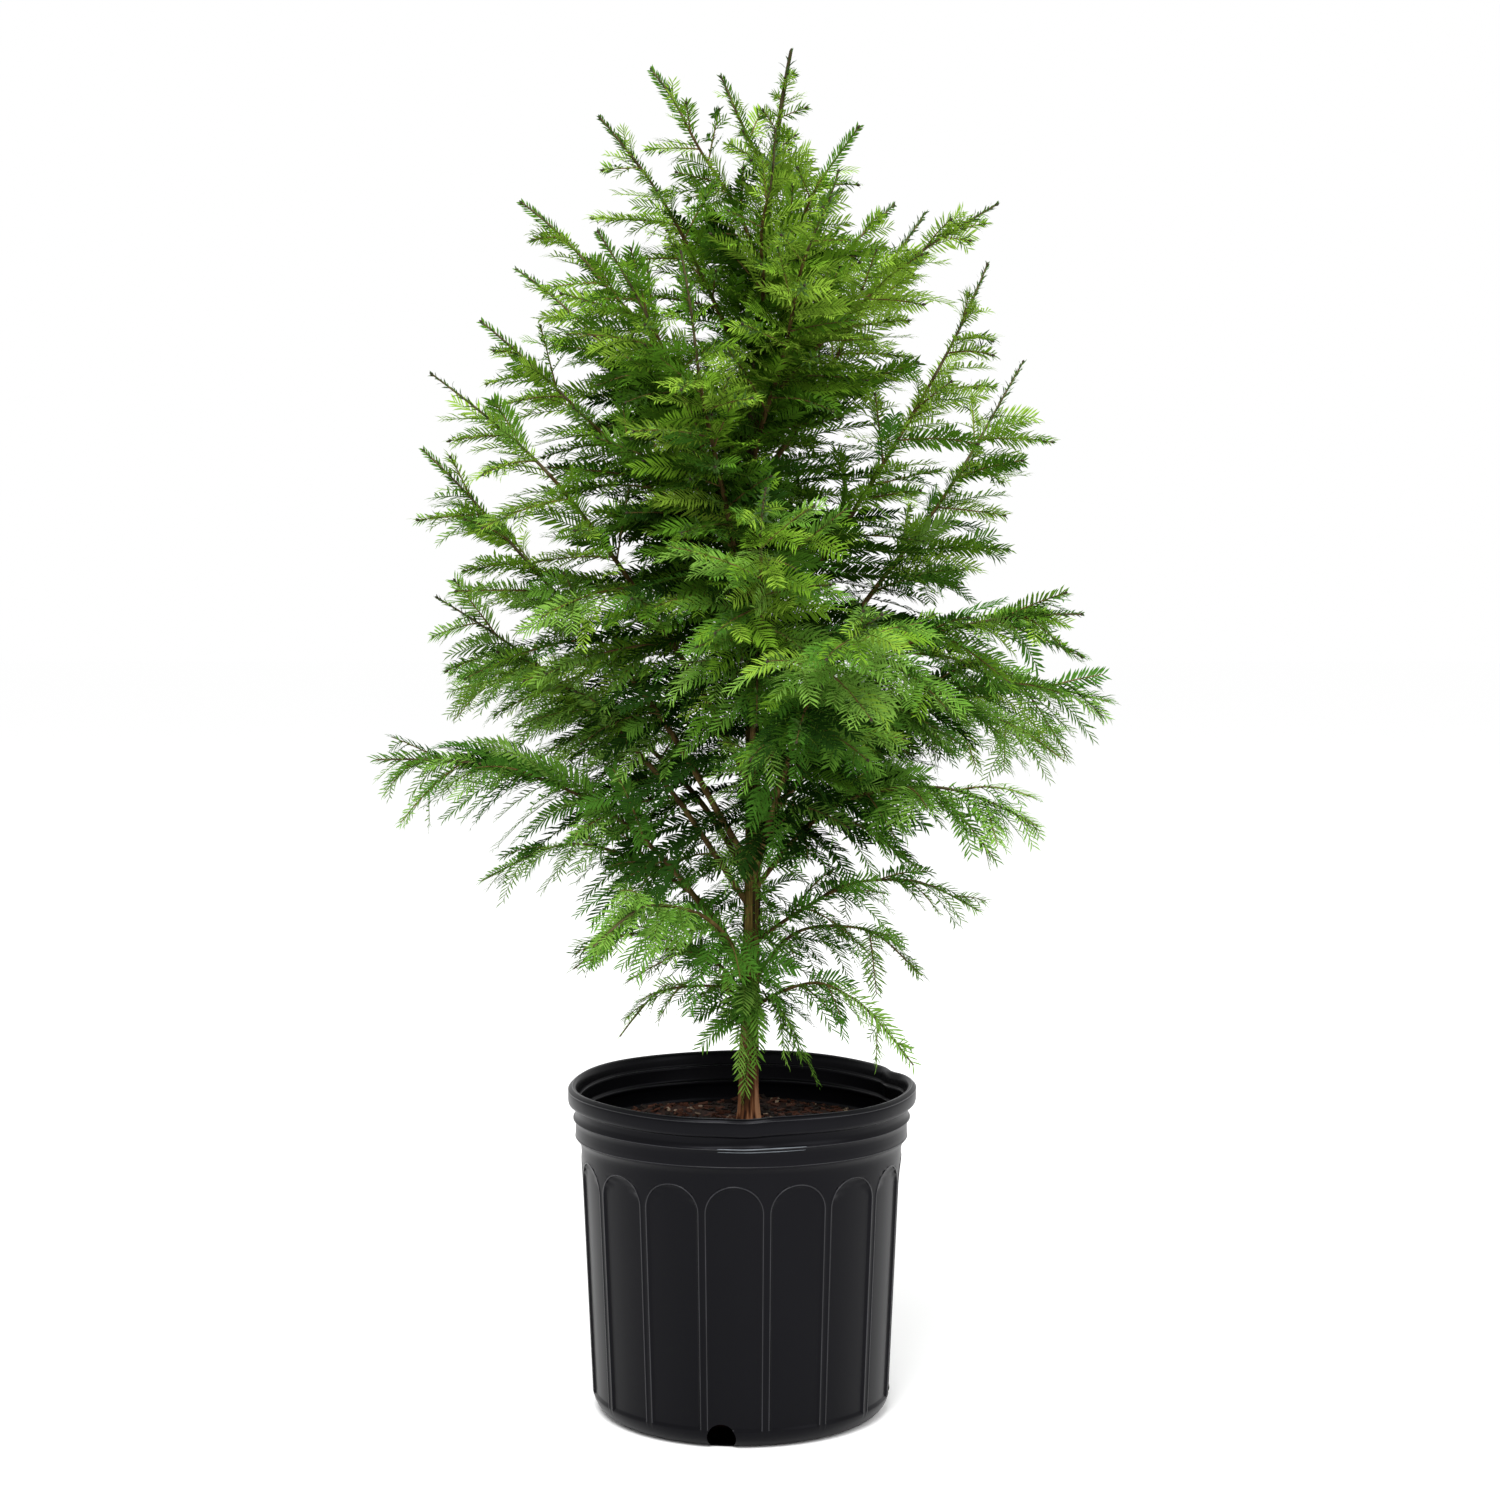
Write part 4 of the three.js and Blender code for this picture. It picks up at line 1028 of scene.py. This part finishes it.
def soil_height(x, y):
    """Level of the soil, with lumps of several sizes."""
    far = np.hypot(x, y)
    bumps = np.zeros_like(x)
    for step in range(LUMPS):
        lump = np.random.default_rng(LUMP_SEED + step)
        heading, size = lump.uniform(0, ANY_PHASE), lump.uniform(*LUMP_SIZES)
        along = x * math.cos(heading) + y * math.sin(heading)
        bumps += LUMP_HEIGHT * size * np.sin(along / size + lump.uniform(0, ANY_PHASE))
    return SOIL_LEVEL - SOIL_SUNK + LUMP_SHARE * bumps - EDGE_FALL * smoothstep(*EDGE_FALL_RADII, far)


soil_turn = 2 * np.pi * np.arange(SOIL_SIDES) / SOIL_SIDES
soil_r = np.linspace(*SOIL_RADII, SOIL_ROWS)[:, None] * np.ones(SOIL_SIDES)
soil_x, soil_y = soil_r * np.sin(soil_turn), -soil_r * np.cos(soil_turn)
soil_top = np.stack([soil_x, soil_y, soil_height(soil_x, soil_y)], axis=-1)
soil_sides = np.array([[(q * math.sin(a), -q * math.cos(a), h) for a in soil_turn] for q, h in SOIL_SKIRT])
soil_verts = np.concatenate([soil_top, soil_sides]).reshape(-1, 3)
soil_faces = ring_quads(SOIL_ROWS + len(SOIL_SKIRT), SOIL_SIDES)
add_piece("potting_soil", soil_verts, soil_faces, potting_mix, "soil", ["soil"])
for name, many, scale in CHIP_KINDS:
    far, where = CHIP_FIELD * np.sqrt(rng.uniform(0, 1, many)), rng.uniform(0, 2 * np.pi, many)
    x, y = far * np.sin(where), -far * np.cos(where)
    middle = np.stack([x, y, soil_height(x, y) + CHIP_LIFT], axis=-1)
    size = rng.uniform(*CHIP_SIZES, (many, 1, 1)) * CHIP_SIZE * scale
    corners = CORNERS[None] * size * rng.uniform(*CHIP_CORNERS, (many, len(CORNERS), 3))
    for axis, limit in CHIP_TURNS:
        angles = np.repeat(rng.uniform(-limit, limit, (many, 1)), len(CORNERS), axis=1)
        corners = turned(corners, np.broadcast_to(axis, corners.shape), angles)
    verts = (middle[:, None] + corners).reshape(-1, 3)
    faces = (len(CORNERS) * np.arange(many)[:, None, None] + BLOCK[None]).reshape(-1, 4)
    tones = [tuple(CHIP_SHADE * c for c in CHIP_TONES[name]), CHIP_TONES[name]]
    chip = grained_material(
        "chips_" + name, tones, scale=300, stretch=(1, 1, 1), roughness=0.9, bump=0.5, specular=0.2)
    add_piece("bark_chips_" + name, verts, faces, chip, "soil", ["soil"], smooth=False)

# Stage, light and camera, in metres
FLOOR_CORNERS = [(-30, -30, 0), (30, -30, 0), (30, 60, 0), (-30, 60, 0)]
PHOTO_WIDTH = 1500
FOCAL_LENGTH = 2485
SENSOR_WIDTH = 36
CAMERA_PLACE = (0.0074, -2.117, 0.662)
CAMERA_DIP = 2.65


def area_light(name, place, target, size, power):
    data = bpy.data.lights.new(name, "AREA")
    data.size = size
    data.energy = power
    lamp = bpy.data.objects.new(name, data)
    lamp.location = place
    x, y, z = (t - p for t, p in zip(target, place))
    lamp.rotation_euler = (math.atan2(math.hypot(x, y), -z), 0, math.atan2(y, x) - math.pi / 2)
    bpy.context.scene.collection.objects.link(lamp)


floor_mesh = bpy.data.meshes.new("floor")
floor_mesh.from_pydata(FLOOR_CORNERS, [], [(0, 1, 2, 3)])
floor_mesh.materials.append(plain_material("floor_white", (0.995, 0.995, 0.995), roughness=0.9, specular=0.0))
floor = bpy.data.objects.new("floor", floor_mesh)
bpy.context.scene.collection.objects.link(floor)

world = bpy.data.worlds.new("studio")
world.use_nodes = True
world.node_tree.nodes["Background"].inputs["Color"].default_value = (1, 1, 1, 1)
bpy.context.scene.world = world
bpy.context.scene.view_settings.view_transform = "Standard"
area_light("key", place=(-0.5, -2.0, 3.2), target=(0, 0, 0.7), size=1.8, power=130)
area_light("fill", place=(2.2, -1.6, 1.8), target=(0, 0, 0.6), size=1.8, power=25)

lens = bpy.data.cameras.new("camera")
lens.sensor_width = SENSOR_WIDTH
lens.lens = SENSOR_WIDTH * FOCAL_LENGTH / PHOTO_WIDTH
camera = bpy.data.objects.new("camera", lens)
camera.location = CAMERA_PLACE
camera.rotation_euler = (math.radians(90 - CAMERA_DIP), 0, 0)
bpy.context.scene.collection.objects.link(camera)
bpy.context.scene.camera = camera
